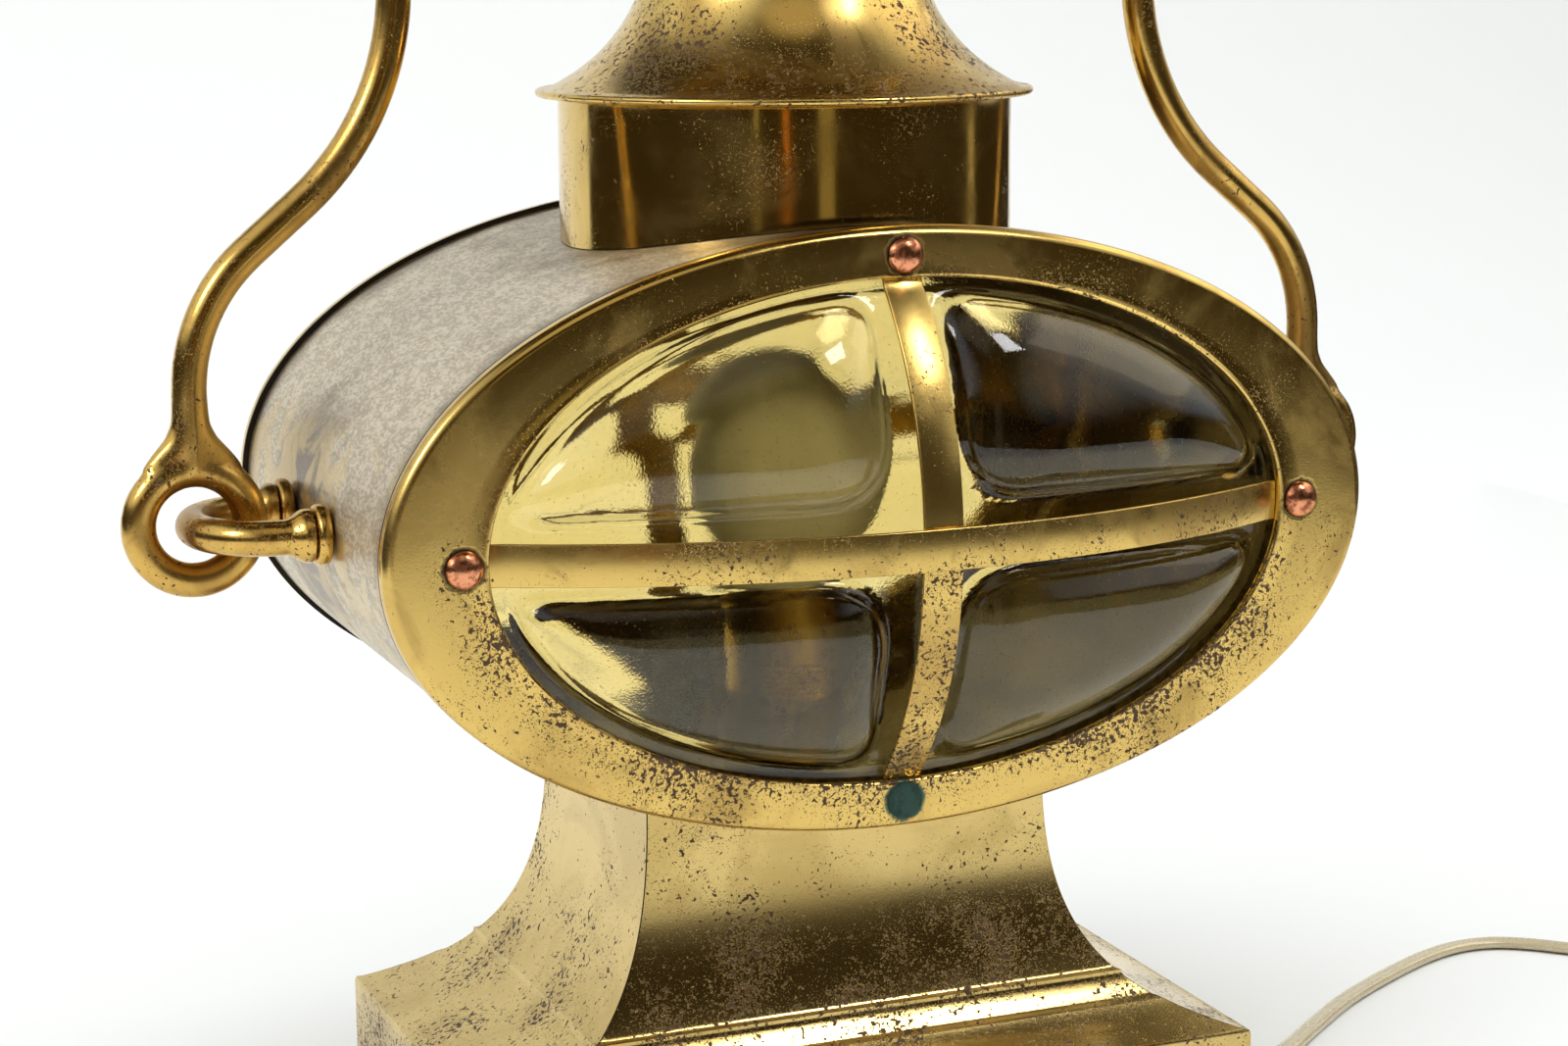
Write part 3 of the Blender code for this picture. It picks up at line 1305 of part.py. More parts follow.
def pipe_bore_cutter():
    """The hole for the lamp pipe through the drum's floor and the base plate."""
    bore = PIPE_RADIUS + CLEARANCE
    shapes = []
    for height in (BASE_PLATE_HEIGHT, drum_floor()):
        low = height - BORE_OVERRUN
        high = height + BORE_OVERRUN
        shapes.append(turned(((0.0, low), (bore, low), (bore, high), (0.0, high)), steps=24))
    return make_cutter("pipe_bore", shapes)


def main():
    """Build the lantern."""
    clear_scene()
    brass = metal("brass", (0.62, 0.44, 0.17), 0.32)
    worn_brass = metal("worn_brass", (0.48, 0.40, 0.28), 0.45)
    copper = metal("copper", (0.55, 0.22, 0.12), 0.35)
    steel = metal("zinc_steel", (0.55, 0.54, 0.50), 0.40)
    glass = surface("amber_glass", (0.90, 0.78, 0.28), 0.05, transmission=1.0)
    putty = surface("putty", (0.35, 0.30, 0.22), 0.85)
    felt = surface("green_felt", (0.05, 0.14, 0.08), 0.95)
    porcelain = surface("porcelain", (0.82, 0.80, 0.74), 0.25)
    phenolic = surface("dark_phenolic", (0.04, 0.03, 0.025), 0.35)
    vinyl = surface("clear_vinyl", (0.72, 0.62, 0.42), 0.30)

    pipe_cutter = pipe_bore_cutter()
    build_drum(worn_brass, (drum_cutters(), pipe_cutter))
    for end, side in (("front", -1), ("rear", 1)):
        build_end(end, side, brass, copper, glass, putty)
    build_collar(brass)
    build_hood(brass, "hood_lift_point")
    build_bail(brass)
    build_staples(brass, steel)
    build_pedestal(brass, steel, felt, pipe_cutter)
    build_lamp_pipe(steel)
    build_socket(brass, porcelain, phenolic)
    build_cord(vinyl, phenolic)
    build_plug(vinyl, brass)


main()
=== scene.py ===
"""Looks of a brass ship lantern that was made into a table lamp.

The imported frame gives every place. The classes below build the fine meshes and finishes round it, in
metres, with +Z up, the front lens facing -Y and the cord leaving on the +X side.
"""
import logging
import math
from collections.abc import Callable
from dataclasses import dataclass
from enum import Enum

import bmesh
import bpy
from mathutils import Matrix, Vector


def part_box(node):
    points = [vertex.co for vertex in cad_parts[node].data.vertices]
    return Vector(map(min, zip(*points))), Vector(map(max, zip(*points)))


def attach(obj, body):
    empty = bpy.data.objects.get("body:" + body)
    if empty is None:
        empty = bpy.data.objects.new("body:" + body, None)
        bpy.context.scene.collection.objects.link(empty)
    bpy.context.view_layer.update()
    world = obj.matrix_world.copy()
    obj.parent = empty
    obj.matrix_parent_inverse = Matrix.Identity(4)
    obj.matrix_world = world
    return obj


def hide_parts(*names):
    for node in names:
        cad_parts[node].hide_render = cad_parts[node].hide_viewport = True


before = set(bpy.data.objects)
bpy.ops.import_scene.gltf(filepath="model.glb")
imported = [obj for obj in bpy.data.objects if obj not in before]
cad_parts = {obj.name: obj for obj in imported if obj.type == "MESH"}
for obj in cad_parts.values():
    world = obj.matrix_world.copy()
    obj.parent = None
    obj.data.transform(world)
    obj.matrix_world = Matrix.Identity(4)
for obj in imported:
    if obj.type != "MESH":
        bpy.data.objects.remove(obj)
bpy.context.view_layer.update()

LOG = logging.getLogger("ship_lantern")

Colour = tuple[float, float, float]
Outline = list[tuple[float, float]]
Ring = list[Vector]
Socket = bpy.types.NodeSocket
Solid = bmesh.types.BMesh
Mesh = bpy.types.Mesh
Thing = bpy.types.Object
Material = bpy.types.Material
Value = float | int | str | Colour | Vector | Socket | Material

SMOOTH_ANGLE = math.radians(38.0)
X, Y, Z = (Vector(axis) for axis in ((1.0, 0.0, 0.0), (0.0, 1.0, 0.0), (0.0, 0.0, 1.0)))
AXIS = Vector(((0.0, 0.0, sum(corner[2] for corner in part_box("drum_shell")) / 2)))


class End(Enum):
    """Which end of the drum a piece is on; the value is the way it faces along Y."""

    FRONT = -1
    REAR = 1

    @property
    def label(self) -> str:
        """The word that the end's node names start with."""
        return self.name.lower()


class Hand(Enum):
    """Which side of the drum a piece is on; the value is the way it faces along X."""

    LEFT = -1
    RIGHT = 1

    @property
    def label(self) -> str:
        """The word that the side's node names end with."""
        return self.name.lower()


class Body(Enum):
    """The moving bodies of the lantern."""

    LANTERN = "lantern"
    HOOD = "hood"
    BAIL = "bail"
    KNOB = "knob"


@dataclass(frozen=True)
class Extent:
    """The box of one node of the frame.

    Attributes:
        low: Its lowest corner.
        high: Its highest corner.
    """

    low: Vector
    high: Vector

    @classmethod
    def of(cls, node: str) -> "Extent":
        """The box of a named node."""
        low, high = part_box(node)
        return cls(Vector(low), Vector(high))

    @property
    def half(self) -> Vector:
        """Half its size along each axis."""
        return (self.high - self.low) / 2

    @property
    def centre(self) -> Vector:
        """Its middle."""
        return (self.high + self.low) / 2


# ------------------------------------------------------------------ finishes


class Layout:
    """Lays out the nodes of one tree."""

    def __init__(self, tree: bpy.types.NodeTree) -> None:
        """Work on a given tree."""
        self.tree = tree

    def node(self, kind: str, settings: dict[str, str] | None = None, **sockets: Value) -> bpy.types.Node:
        """Add a node and fill its sockets.

        Args:
            kind: The node's type.
            settings: Its own options.
            **sockets: Values or outputs, by socket name with underscores for spaces, or i0, i1 by place.

        Returns:
            The node.
        """
        node = self.tree.nodes.new(kind)
        for label, value in (settings or {}).items():
            setattr(node, label, value)
        for label, value in sockets.items():
            socket = node.inputs[int(label[1:]) if label[1:].isdigit() else label.replace("_", " ")]
            if isinstance(value, Socket):
                self.tree.links.new(value, socket)
            else:
                socket.default_value = value
        return node

    def maths(self, kind: str, *values: float | Socket) -> Socket:
        """One Math node on numbers or outputs."""
        sockets = {f"i{index}": value for index, value in enumerate(values)}
        return self.node("ShaderNodeMath", {"operation": kind}, **sockets).outputs[0]

    def step(self, value: Socket, low: float, high: float, start: float = 0.0, end: float = 1.0) -> Socket:
        """A smooth change from start to end while a value goes from low to high."""
        return self.node("ShaderNodeMapRange", {"interpolation_type": "SMOOTHSTEP"}, Value=value, From_Min=low,
                         From_Max=high, To_Min=start, To_Max=end).outputs["Result"]

    def mix(self, share: Socket, first: Colour | Socket, second: Colour | Socket) -> Socket:
        """Mix two colours by a share from 0 to 1."""
        first, second = ((*end, 1.0) if isinstance(end, tuple) else end for end in (first, second))
        return self.node("ShaderNodeMix", {"data_type": "RGBA"}, i0=share, i6=first, i7=second).outputs[2]

    def reach(self, run: Socket, rise: Socket) -> Socket:
        """How far off a point is that lies at a run and a rise."""
        squares = [self.maths("MULTIPLY", side, side) for side in (run, rise)]
        return self.maths("SQRT", self.maths("ADD", *squares))


class Shading(Layout):
    """Lays out the nodes of one material round its Principled shader."""

    def __init__(self, name: str) -> None:
        """Start a material.

        Args:
            name: The finish's name.
        """
        self.material = bpy.data.materials.new(name)
        self.material.use_nodes = True
        super().__init__(self.material.node_tree)
        self.shader = self.tree.nodes["Principled BSDF"]
        self.place = self.node("ShaderNodeTexCoord").outputs["Object"]

    def fixed(self, **values: float | tuple[float, ...]) -> None:
        """Set sockets of the shader that are the same all over; underscores stand for spaces."""
        for name, value in values.items():
            self.shader.inputs[name.replace("_", " ")].default_value = value

    def link(self, output: Socket, socket: str) -> None:
        """Join an output to a socket of the shader."""
        self.tree.links.new(output, self.shader.inputs[socket])

    def mapped(self, scale: Colour, turn: Colour) -> Socket:
        """The object's own coordinates, stretched by a scale and turned in radians."""
        return self.node("ShaderNodeMapping", Scale=scale, Rotation=turn, Vector=self.place).outputs["Vector"]

    def noise(self, scale: float, detail: float = 3.0, rough: float = 0.55, warp: float = 0.0,
              vector: Socket | None = None) -> Socket:
        """Cloudy noise from 0 to 1.

        Args:
            scale: Repeats to the metre.
            detail: Octaves.
            rough: Share of the finer octaves.
            warp: Distortion.
            vector: Where to read it; the object's coordinates if left out.

        Returns:
            The noise's value output.
        """
        return self.node("ShaderNodeTexNoise", Scale=scale, Detail=detail, Roughness=rough, Distortion=warp,
                         Vector=vector or self.place).outputs["Fac"]

    def axes(self) -> tuple[Socket, ...]:
        """The x, y and z of the object's coordinates."""
        return tuple(self.node("ShaderNodeSeparateXYZ", Vector=self.place).outputs)

    def bump(self, height: Socket, strength: float, depth: float) -> None:
        """Roughen the surface by a map from 0 to 1, to a full depth in metres."""
        node = self.node("ShaderNodeBump", Strength=strength, Distance=depth, Height=height)
        self.link(node.outputs["Normal"], "Normal")


class SpotField(Enum):
    """Where tarnish spots gather on a brass piece."""

    EVEN = "even"
    LOW = "low"
    BEZEL = "bezel"
    UPPER_FRONT = "upper front"


@dataclass(frozen=True)
class AgedBrass:
    """Polished brass with pitted brown spots and stains.

    Attributes:
        name: The finish's name.
        colour: Clean metal.
        shade: Duller metal between the clean patches.
        spot: Colour of the spots.
        spots: How many there are, from 0 to 1.
        spot_size: Their size in metres.
        stain: How much brown stain lies over the metal, from 0 to 1.
        roughness: Roughness of the clean metal.
        haze: Roughness added in dull patches.
        ripple: Height of slow ripples in the sheet, in metres.
        field: Where the spots gather.
    """

    name: str
    colour: Colour = (0.72, 0.50, 0.15)
    shade: Colour = (0.56, 0.37, 0.11)
    spot: Colour = (0.085, 0.045, 0.020)
    spots: float = 0.35
    spot_size: float = 0.0013
    stain: float = 0.15
    roughness: float = 0.20
    haze: float = 0.12
    ripple: float = 0.0
    field: SpotField = SpotField.EVEN

    def gathering(self, lay: Shading) -> Socket:
        """How strongly spots gather at each place, about 0.

        Args:
            lay: The finish's node tree.

        Returns:
            The field.
        """
        clouds = lay.noise(38.0, 4.0, 0.6)
        bias = lay.maths("MULTIPLY_ADD", clouds, 0.62, -0.31)
        x, _, z = lay.axes()
        if self.field is SpotField.LOW:
            lower = lay.step(z, AXIS.z - 0.030, AXIS.z + 0.030, 0.07, -0.09)
            bias = lay.maths("ADD", bias, lower)
        if self.field is SpotField.UPPER_FRONT:
            upper = lay.step(z, 0.060, 0.095, 0.05, -0.03)
            bias = lay.maths("ADD", bias, upper)
        if self.field is SpotField.BEZEL:
            height = lay.maths("SUBTRACT", z, AXIS.z)
            across = lay.maths("DIVIDE", x, 0.140)
            rise = lay.maths("DIVIDE", height, 0.080)
            reach = lay.reach(across, rise)
            inner = lay.step(reach, 0.80, 0.97, 0.09, -0.07)
            lower = lay.step(rise, -0.75, 0.35, 0.05, -0.10)
            bias = lay.maths("ADD", bias, lay.maths("ADD", inner, lower))
        return bias

    def layers(self, lay: Shading) -> tuple[Socket, Socket, Socket]:
        """Colour, spot mask and dull mask of the metal.

        Args:
            lay: The material being laid out.

        Returns:
            The colour, the mask of the spots and the mask of the dull patches.
        """
        bias = self.gathering(lay)
        coarse = lay.noise(1.0 / self.spot_size, 2.5, 0.5, 0.4)
        fine = lay.noise(3.1 / self.spot_size, 2.0, 0.5)
        edge = 0.74 - 0.22 * self.spots
        big = lay.step(lay.maths("ADD", coarse, bias), edge, edge + 0.035)
        small = lay.step(lay.maths("MULTIPLY_ADD", bias, 0.7, fine), edge + 0.01, edge + 0.05, 0.0, 0.85)
        spots = lay.maths("MAXIMUM", big, small)
        dull = lay.step(lay.noise(26.0, 5.0, 0.62, 0.6), 0.42, 0.66)
        metal = lay.mix(dull, self.colour, self.shade)
        brown = tuple(0.42 * channel for channel in self.shade)
        stained = lay.step(lay.noise(75.0, 6.0, 0.66, 0.8), 0.66 - 0.30 * self.stain, 0.78, 0.0, 0.85)
        metal = lay.mix(stained, metal, brown)
        return lay.mix(spots, metal, self.spot), spots, lay.maths("MAXIMUM", dull, stained)

    def finish(self, lay: Shading, colour: Socket, spots: Socket,
               dull: Socket) -> Material:
        """Join the masks to the shader.

        Args:
            lay: The material being laid out.
            colour: The metal's colour.
            spots: Mask of the spots.
            dull: Mask of the dull patches.

        Returns:
            The finished material.
        """
        lay.link(colour, "Base Color")
        lay.link(lay.step(spots, 0.0, 1.0, 1.0, 0.45), "Metallic")
        even = lay.step(dull, 0.0, 1.0, self.roughness, self.roughness + self.haze)
        lay.link(lay.maths("MULTIPLY_ADD", spots, 0.34, even), "Roughness")
        pits = lay.maths("MULTIPLY", spots, -1.0)
        grain = lay.noise(1600.0, 2.0, 0.6)
        height = lay.maths("MULTIPLY_ADD", grain, 0.10, pits)
        if self.ripple:
            slow = lay.maths("MULTIPLY", lay.noise(22.0, 1.0, 0.4), self.ripple / 0.00012)
            height = lay.maths("ADD", height, slow)
        lay.bump(height, 0.55, 0.00012)
        return lay.material

    def material(self) -> Material:
        """Make the finish."""
        lay = Shading(self.name)
        return self.finish(lay, *self.layers(lay))


@dataclass(frozen=True)
class BezelBrass(AgedBrass):
    """Aged brass with painted shade and grime round the four rivets, verdigris below the lowest, and painted shade
    along the lip's back edge.

    Attributes:
        rivet_side: Distance of the side rivets from the middle.
        rivet_top: Distance of the top and bottom rivets from the middle.
        lip: Distance of the lip's edge from the middle of the drum.
        green: Colour of the verdigris.
    """

    rivet_side: float = 0.1196
    rivet_top: float = 0.0725
    lip: float = 0.0755
    green: Colour = (0.030, 0.120, 0.085)

    def material(self) -> Material:
        """Make the finish.

        Returns:
            The material.
        """
        lay = Shading(self.name)
        colour, spots, dull = self.layers(lay)
        x, y, z = lay.axes()
        height = lay.maths("SUBTRACT", z, AXIS.z)
        near = None
        for side, top in ((self.rivet_side, 0.0), (0.0, self.rivet_top)):
            run = lay.maths("SUBTRACT", lay.maths("ABSOLUTE", x), side)
            rise = lay.maths("SUBTRACT", lay.maths("ABSOLUTE", height), top)
            reach = lay.reach(run, rise)
            near = reach if near is None else lay.maths("MINIMUM", near, reach)
        rough_edge = lay.maths("MULTIPLY_ADD", lay.noise(420.0, 3.0), 0.0022, near)
        # painted shade and grime: a near-black ring just outside each rivet head
        shade_and_grime = lay.step(rough_edge, 0.0060, 0.0074, 0.95, 0.0)
        colour = lay.mix(shade_and_grime, colour, (0.030, 0.018, 0.010))
        low = lay.step(height, -self.rivet_top + 0.012, -self.rivet_top + 0.008, 0.0, 1.0)
        halo = lay.step(rough_edge, 0.0062, 0.0078, 1.0, 0.0)
        patches = lay.step(lay.noise(520.0, 3.0), 0.42, 0.55)
        verdigris = lay.maths("MULTIPLY", lay.maths("MULTIPLY", low, halo), patches)
        colour = lay.mix(verdigris, colour, self.green)
        # painted shade: the back edge of the lip is darkened nearly to black where it meets the drum
        lip = lay.step(lay.maths("ABSOLUTE", y), self.lip + 0.0004, self.lip + 0.0013, 1.0, 0.0)
        colour = lay.mix(lip, colour, (0.012, 0.008, 0.005))
        return self.finish(lay, colour, lay.maths("MAXIMUM", spots, lay.maths("MAXIMUM", shade_and_grime, lip)), dull)


@dataclass(frozen=True)
class WornSheet:
    """Dull sheet brass of the drum: a dry beige film with fine slanting grain and brown stains, with painted shade
    mixed into the stain beside the bezels, round the staples and over the right of its top.

    Attributes:
        name: The finish's name.
        haze: Colour of the dry film.
        dark: Colour of the grain's hollows.
        stain: Colour of the brown stains, also used for the painted shade beside the bezels, round the staples and
            over the right of the top.
        brass: Metal that shows through.
        inside: Colour of the tarnished inside.
        roughness: Roughness of the film.
    """

    name: str
    haze: Colour = (0.66, 0.59, 0.46)
    dark: Colour = (0.44, 0.37, 0.27)
    stain: Colour = (0.135, 0.085, 0.040)
    brass: Colour = (0.62, 0.44, 0.16)
    inside: Colour = (0.12, 0.085, 0.028)
    roughness: float = 0.44

    def material(self) -> Material:
        """Make the finish.

        Returns:
            The material.
        """
        lay = Shading(self.name)
        slanted = lay.mapped((1.0, 0.45, 1.0), (0.0, 0.0, 0.5))
        grain = lay.noise(1050.0, 3.0, 0.6, 0.2, slanted)
        coarse = lay.noise(330.0, 3.0, 0.6, 0.5, slanted)
        strokes = lay.maths("ADD", lay.maths("MULTIPLY", grain, 0.6), lay.maths("MULTIPLY", coarse, 0.4))
        clouds = lay.noise(24.0, 5.0, 0.62, 0.5)
        x, y, z = lay.axes()
        film = lay.mix(lay.step(strokes, 0.42, 0.58), self.dark, self.haze)
        film = lay.mix(lay.step(clouds, 0.50, 0.68, 0.0, 0.40), film, self.stain)
        height = lay.maths("SUBTRACT", z, AXIS.z)
        # painted shade and stain: a wavy brown band along each end of the drum, beside the bezel
        rim = lay.maths("MULTIPLY_ADD", clouds, 0.020, lay.maths("ABSOLUTE", y))
        rim = lay.step(rim, 0.072, 0.084, 0.0, 0.75)
        # painted shade and stain: browner over the right (+X) side of the drum's top
        top = lay.step(lay.maths("MULTIPLY_ADD", clouds, 0.10, x), -0.035, 0.045)
        crown = lay.maths("MULTIPLY", top, lay.step(height, 0.040, 0.070, 0.0, 0.80))
        # painted shade and stain: brown patches on the drum's sides round the staples
        staple_shade_and_stain = lay.maths("MULTIPLY", lay.step(lay.maths("ABSOLUTE", x), 0.122, 0.136),
                            lay.step(lay.maths("ABSOLUTE", y), 0.048, 0.020))
        staple_shade_and_stain = lay.maths("MULTIPLY", staple_shade_and_stain, lay.step(clouds, 0.36, 0.56, 0.0, 0.85))
        # stained gathers these masks of painted shade and stain
        stained = lay.maths("MAXIMUM", lay.maths("MAXIMUM", rim, crown), staple_shade_and_stain)
        film = lay.mix(stained, film, self.stain)
        side = lay.step(lay.maths("ABSOLUTE", x), 0.128, 0.137)
        low = lay.step(height, -0.004, -0.040)
        worn = lay.step(lay.noise(48.0, 4.0, 0.6, 0.8), 0.47, 0.56)
        bare = lay.maths("MULTIPLY_ADD", lay.maths("MAXIMUM", low, side), 0.60, 0.03)
        bare = lay.maths("MULTIPLY", worn, bare)
        across = lay.maths("DIVIDE", x, 0.1386)
        rise = lay.maths("DIVIDE", height, 0.0786)
        reach = lay.reach(across, rise)
        outside = lay.step(reach, 0.9925, 0.9965)
        surface = lay.mix(bare, film, self.brass)
        lay.link(lay.mix(outside, self.inside, surface), "Base Color")
        lay.link(lay.step(lay.maths("MAXIMUM", bare, stained), 0.0, 1.0, 0.62, 0.95), "Metallic")
        smooth = lay.maths("MAXIMUM", bare, lay.maths("MULTIPLY", stained, 0.7))
        lay.link(lay.step(smooth, 0.0, 1.0, self.roughness, 0.24), "Roughness")
        lay.bump(strokes, 0.40, 0.00010)
        return lay.material


@dataclass(frozen=True)
class RivetMetal:
    """Metal of a rivet's head, with painted shade where it meets the bezel.

    Attributes:
        name: The finish's name.
        colour: The head's metal.
        patch: Colour of its patches.
        rim: Colour of the painted shade at its edge, where it meets the bezel.
        roughness: Roughness of the metal.
        metallic: How metallic it is, from 0 to 1.
    """

    name: str
    colour: Colour = (0.80, 0.33, 0.17)
    patch: Colour = (0.30, 0.10, 0.05)
    rim: Colour = (0.035, 0.018, 0.012)
    roughness: float = 0.20
    metallic: float = 1.0

    def material(self) -> Material:
        """Make the finish.

        Returns:
            The material.
        """
        lay = Shading(self.name)
        _, y, _ = lay.axes()
        face = -Extent.of("front_bezel").low.y
        rise = lay.maths("SUBTRACT", lay.maths("ABSOLUTE", y), face)
        mottled = lay.step(lay.noise(420.0, 3.0, 0.6), 0.42, 0.66)
        metal = lay.mix(mottled, self.colour, self.patch)
        # painted shade: the head is darkened to the rim colour where it meets the bezel
        edge = lay.step(rise, 0.0004, 0.0013, 1.0, 0.0)
        lay.link(lay.mix(edge, metal, self.rim), "Base Color")
        lay.link(lay.step(mottled, 0.0, 1.0, self.roughness, self.roughness + 0.2), "Roughness")
        lay.fixed(Metallic=self.metallic)
        lay.bump(lay.noise(700.0, 2.0), 0.35, 0.00020)
        return lay.material


@dataclass(frozen=True)
class PressedGlass:
    """Amber pressed glass, deeper where it is thick, dusty inside.

    Attributes:
        name: The finish's name.
        tint: Colour of light through one surface.
        speck: Colour of the dust specks.
        depth_colour: Colour that the thickness takes on.
        density: How fast it deepens, per metre.
    """

    name: str
    tint: Colour = (0.97, 0.90, 0.62)
    speck: Colour = (0.40, 0.30, 0.10)
    depth_colour: Colour = (0.86, 0.68, 0.05)
    density: float = 58.0

    def material(self) -> Material:
        """Make the finish.

        Returns:
            The material.
        """
        lay = Shading(self.name)
        dust = lay.step(lay.noise(1500.0, 2.0, 0.5), 0.66, 0.74)
        smears = lay.step(lay.noise(55.0, 5.0, 0.65, 1.2), 0.62, 0.80, 0.0, 0.7)
        clean = lay.mix(smears, self.tint, tuple(0.72 * channel for channel in self.tint))
        lay.link(lay.mix(dust, clean, self.speck), "Base Color")
        lay.link(lay.maths("MULTIPLY_ADD", dust, 0.30, lay.step(smears, 0.0, 0.7, 0.015, 0.10)), "Roughness")
        lay.fixed(Transmission_Weight=1.0, IOR=1.5)
        waves = lay.maths("MULTIPLY_ADD", lay.noise(1500.0, 2.0), 0.10, lay.noise(48.0, 2.0, 0.5))
        lay.bump(waves, 0.35, 0.00035)
        depth = lay.node("ShaderNodeVolumeAbsorption", Color=(*self.depth_colour, 1.0), Density=self.density)
        lay.tree.links.new(depth.outputs["Volume"], lay.tree.nodes["Material Output"].inputs["Volume"])
        return lay.material


@dataclass(frozen=True)
class Mottled:
    """A finish of two close colours, for the smaller pieces.

    Attributes:
        name: The finish's name.
        colour: The main colour.
        other: The second colour.
        scale: Patches to the metre.
        roughness: Roughness of the main colour.
        metallic: How metallic it is, from 0 to 1.
        grain: Depth of its grain, in metres.
        grain_scale: Grains to the metre.
        coat: Weight of a clear coat.
        sheen: Weight of a cloth's sheen.
        clear: Share of light that passes through.
    """

    name: str
    colour: Colour
    other: Colour
    scale: float = 120.0
    roughness: float = 0.4
    metallic: float = 0.0
    grain: float = 0.00005
    grain_scale: float = 900.0
    coat: float = 0.0
    sheen: float = 0.0
    clear: float = 0.0

    def material(self) -> Material:
        """Make the finish.

        Returns:
            The material.
        """
        lay = Shading(self.name)
        share = lay.step(lay.noise(self.scale, 4.0, 0.6), 0.40, 0.64)
        lay.link(lay.mix(share, self.colour, self.other), "Base Color")
        lay.link(lay.step(share, 0.0, 1.0, self.roughness, min(1.0, self.roughness * 1.35)), "Roughness")
        lay.fixed(Metallic=self.metallic, Coat_Weight=self.coat, Sheen_Weight=self.sheen,
                  Transmission_Weight=self.clear)
        lay.bump(lay.noise(self.grain_scale, 3.0), 0.5, self.grain)
        return lay.material


class Finishes:
    """Every finish of the lantern, made once."""

    def __init__(self) -> None:
        """Make the materials."""
        self.bezel = BezelBrass("bezel_brass", spots=0.52, spot_size=0.0014, field=SpotField.BEZEL,
                                stain=0.25, roughness=0.17).material()
        self.pedestal = AgedBrass("pedestal_brass", colour=(0.68, 0.50, 0.19), shade=(0.56, 0.40, 0.14), spots=0.42,
                                  spot_size=0.0014, stain=0.0, roughness=0.15, haze=0.03,
                                  field=SpotField.UPPER_FRONT).material()
        self.guard = AgedBrass("guard_brass", spots=0.40, spot_size=0.0011, stain=0.45, roughness=0.24,
                               field=SpotField.LOW).material()
        self.collar = AgedBrass("collar_brass", spots=0.12, spot_size=0.0010, stain=0.20, roughness=0.10,
                                haze=0.10, ripple=0.0008).material()
        self.hood = AgedBrass("hood_brass", spots=0.50, spot_size=0.0016, stain=0.20, roughness=0.19,
                              haze=0.16).material()
        self.rod = AgedBrass("rod_brass", colour=(0.66, 0.42, 0.11), shade=(0.46, 0.27, 0.07), spots=0.24,
                             spot_size=0.0012, stain=0.50, roughness=0.20).material()
        self.plain = AgedBrass("inner_brass", spots=0.25, stain=0.3, roughness=0.30).material()
        self.drum = WornSheet("worn_drum_sheet").material()
        self.copper = RivetMetal("copper_rivet").material()
        # the rim colours of both rivet finishes are painted shade where the heads meet the bezel
        self.verdigris = RivetMetal("verdigris_rivet", colour=(0.010, 0.060, 0.040), patch=(0.004, 0.022, 0.015),
                                    rim=(0.010, 0.040, 0.030), roughness=0.62, metallic=0.0).material()
        self.glass = PressedGlass("amber_pressed_glass").material()
        self.bulb = Mottled("frosted_bulb", (0.93, 0.92, 0.88), (0.88, 0.87, 0.82), 90.0, 0.42,
                            clear=0.55).material()
        self.putty = Mottled("dry_putty", (0.34, 0.28, 0.18), (0.18, 0.14, 0.09), 300.0, 0.85,
                             grain=0.0003).material()
        self.felt = Mottled("green_felt", (0.030, 0.105, 0.055), (0.020, 0.070, 0.038), 700.0, 0.95,
                            grain=0.0004, grain_scale=2200.0, sheen=0.5).material()
        self.porcelain = Mottled("glazed_porcelain", (0.80, 0.78, 0.71), (0.70, 0.66, 0.56), 160.0, 0.18,
                                 coat=0.6).material()
        self.phenolic = Mottled("brown_phenolic", (0.040, 0.026, 0.018), (0.065, 0.040, 0.026), 240.0, 0.30,
                                coat=0.3).material()
        self.zinc = Mottled("zinc_steel", (0.50, 0.49, 0.46), (0.36, 0.35, 0.32), 260.0, 0.34, 1.0).material()
        self.vinyl = Mottled("gold_vinyl_cord", (0.66, 0.58, 0.40), (0.50, 0.41, 0.24), 900.0, 0.26,
                             metallic=0.25, grain=0.00010, grain_scale=1500.0, coat=0.5).material()
        self.plug = Mottled("cream_plug", (0.70, 0.63, 0.47), (0.62, 0.54, 0.38), 200.0, 0.34,
                            coat=0.3).material()


# ------------------------------------------------------------------ mesh work


def loft(rings: list[Ring], loop: bool = False, cap: bool = True) -> Solid:
    """Skin a closed body over rings of points.

    Args:
        rings: Rings of the same count; a ring of one point is a tip.
        loop: Join the last ring back to the first.
        cap: Fill the first and last ring if they aren't joined.

    Returns:
        The body, its faces outwards.
    """
    mesh = bmesh.new()
    rows = [[mesh.verts.new(point) for point in ring] for ring in rings]
    pairs = list(zip(rows, rows[1:]))
    if loop:
        pairs.append((rows[-1], rows[0]))
    for first, second in pairs:
        count = max(len(first), len(second))
        for index in range(count):
            after = (index + 1) % count
            corners = [first[index % len(first)], first[after % len(first)],
                       second[after % len(second)], second[index % len(second)]]
            mesh.faces.new(list(dict.fromkeys(corners)))
    if cap and not loop:
        for row in (rows[0], rows[-1]):
            if len(row) > 2:
                mesh.faces.new(row)
    bmesh.ops.recalc_face_normals(mesh, faces=mesh.faces)
    return mesh


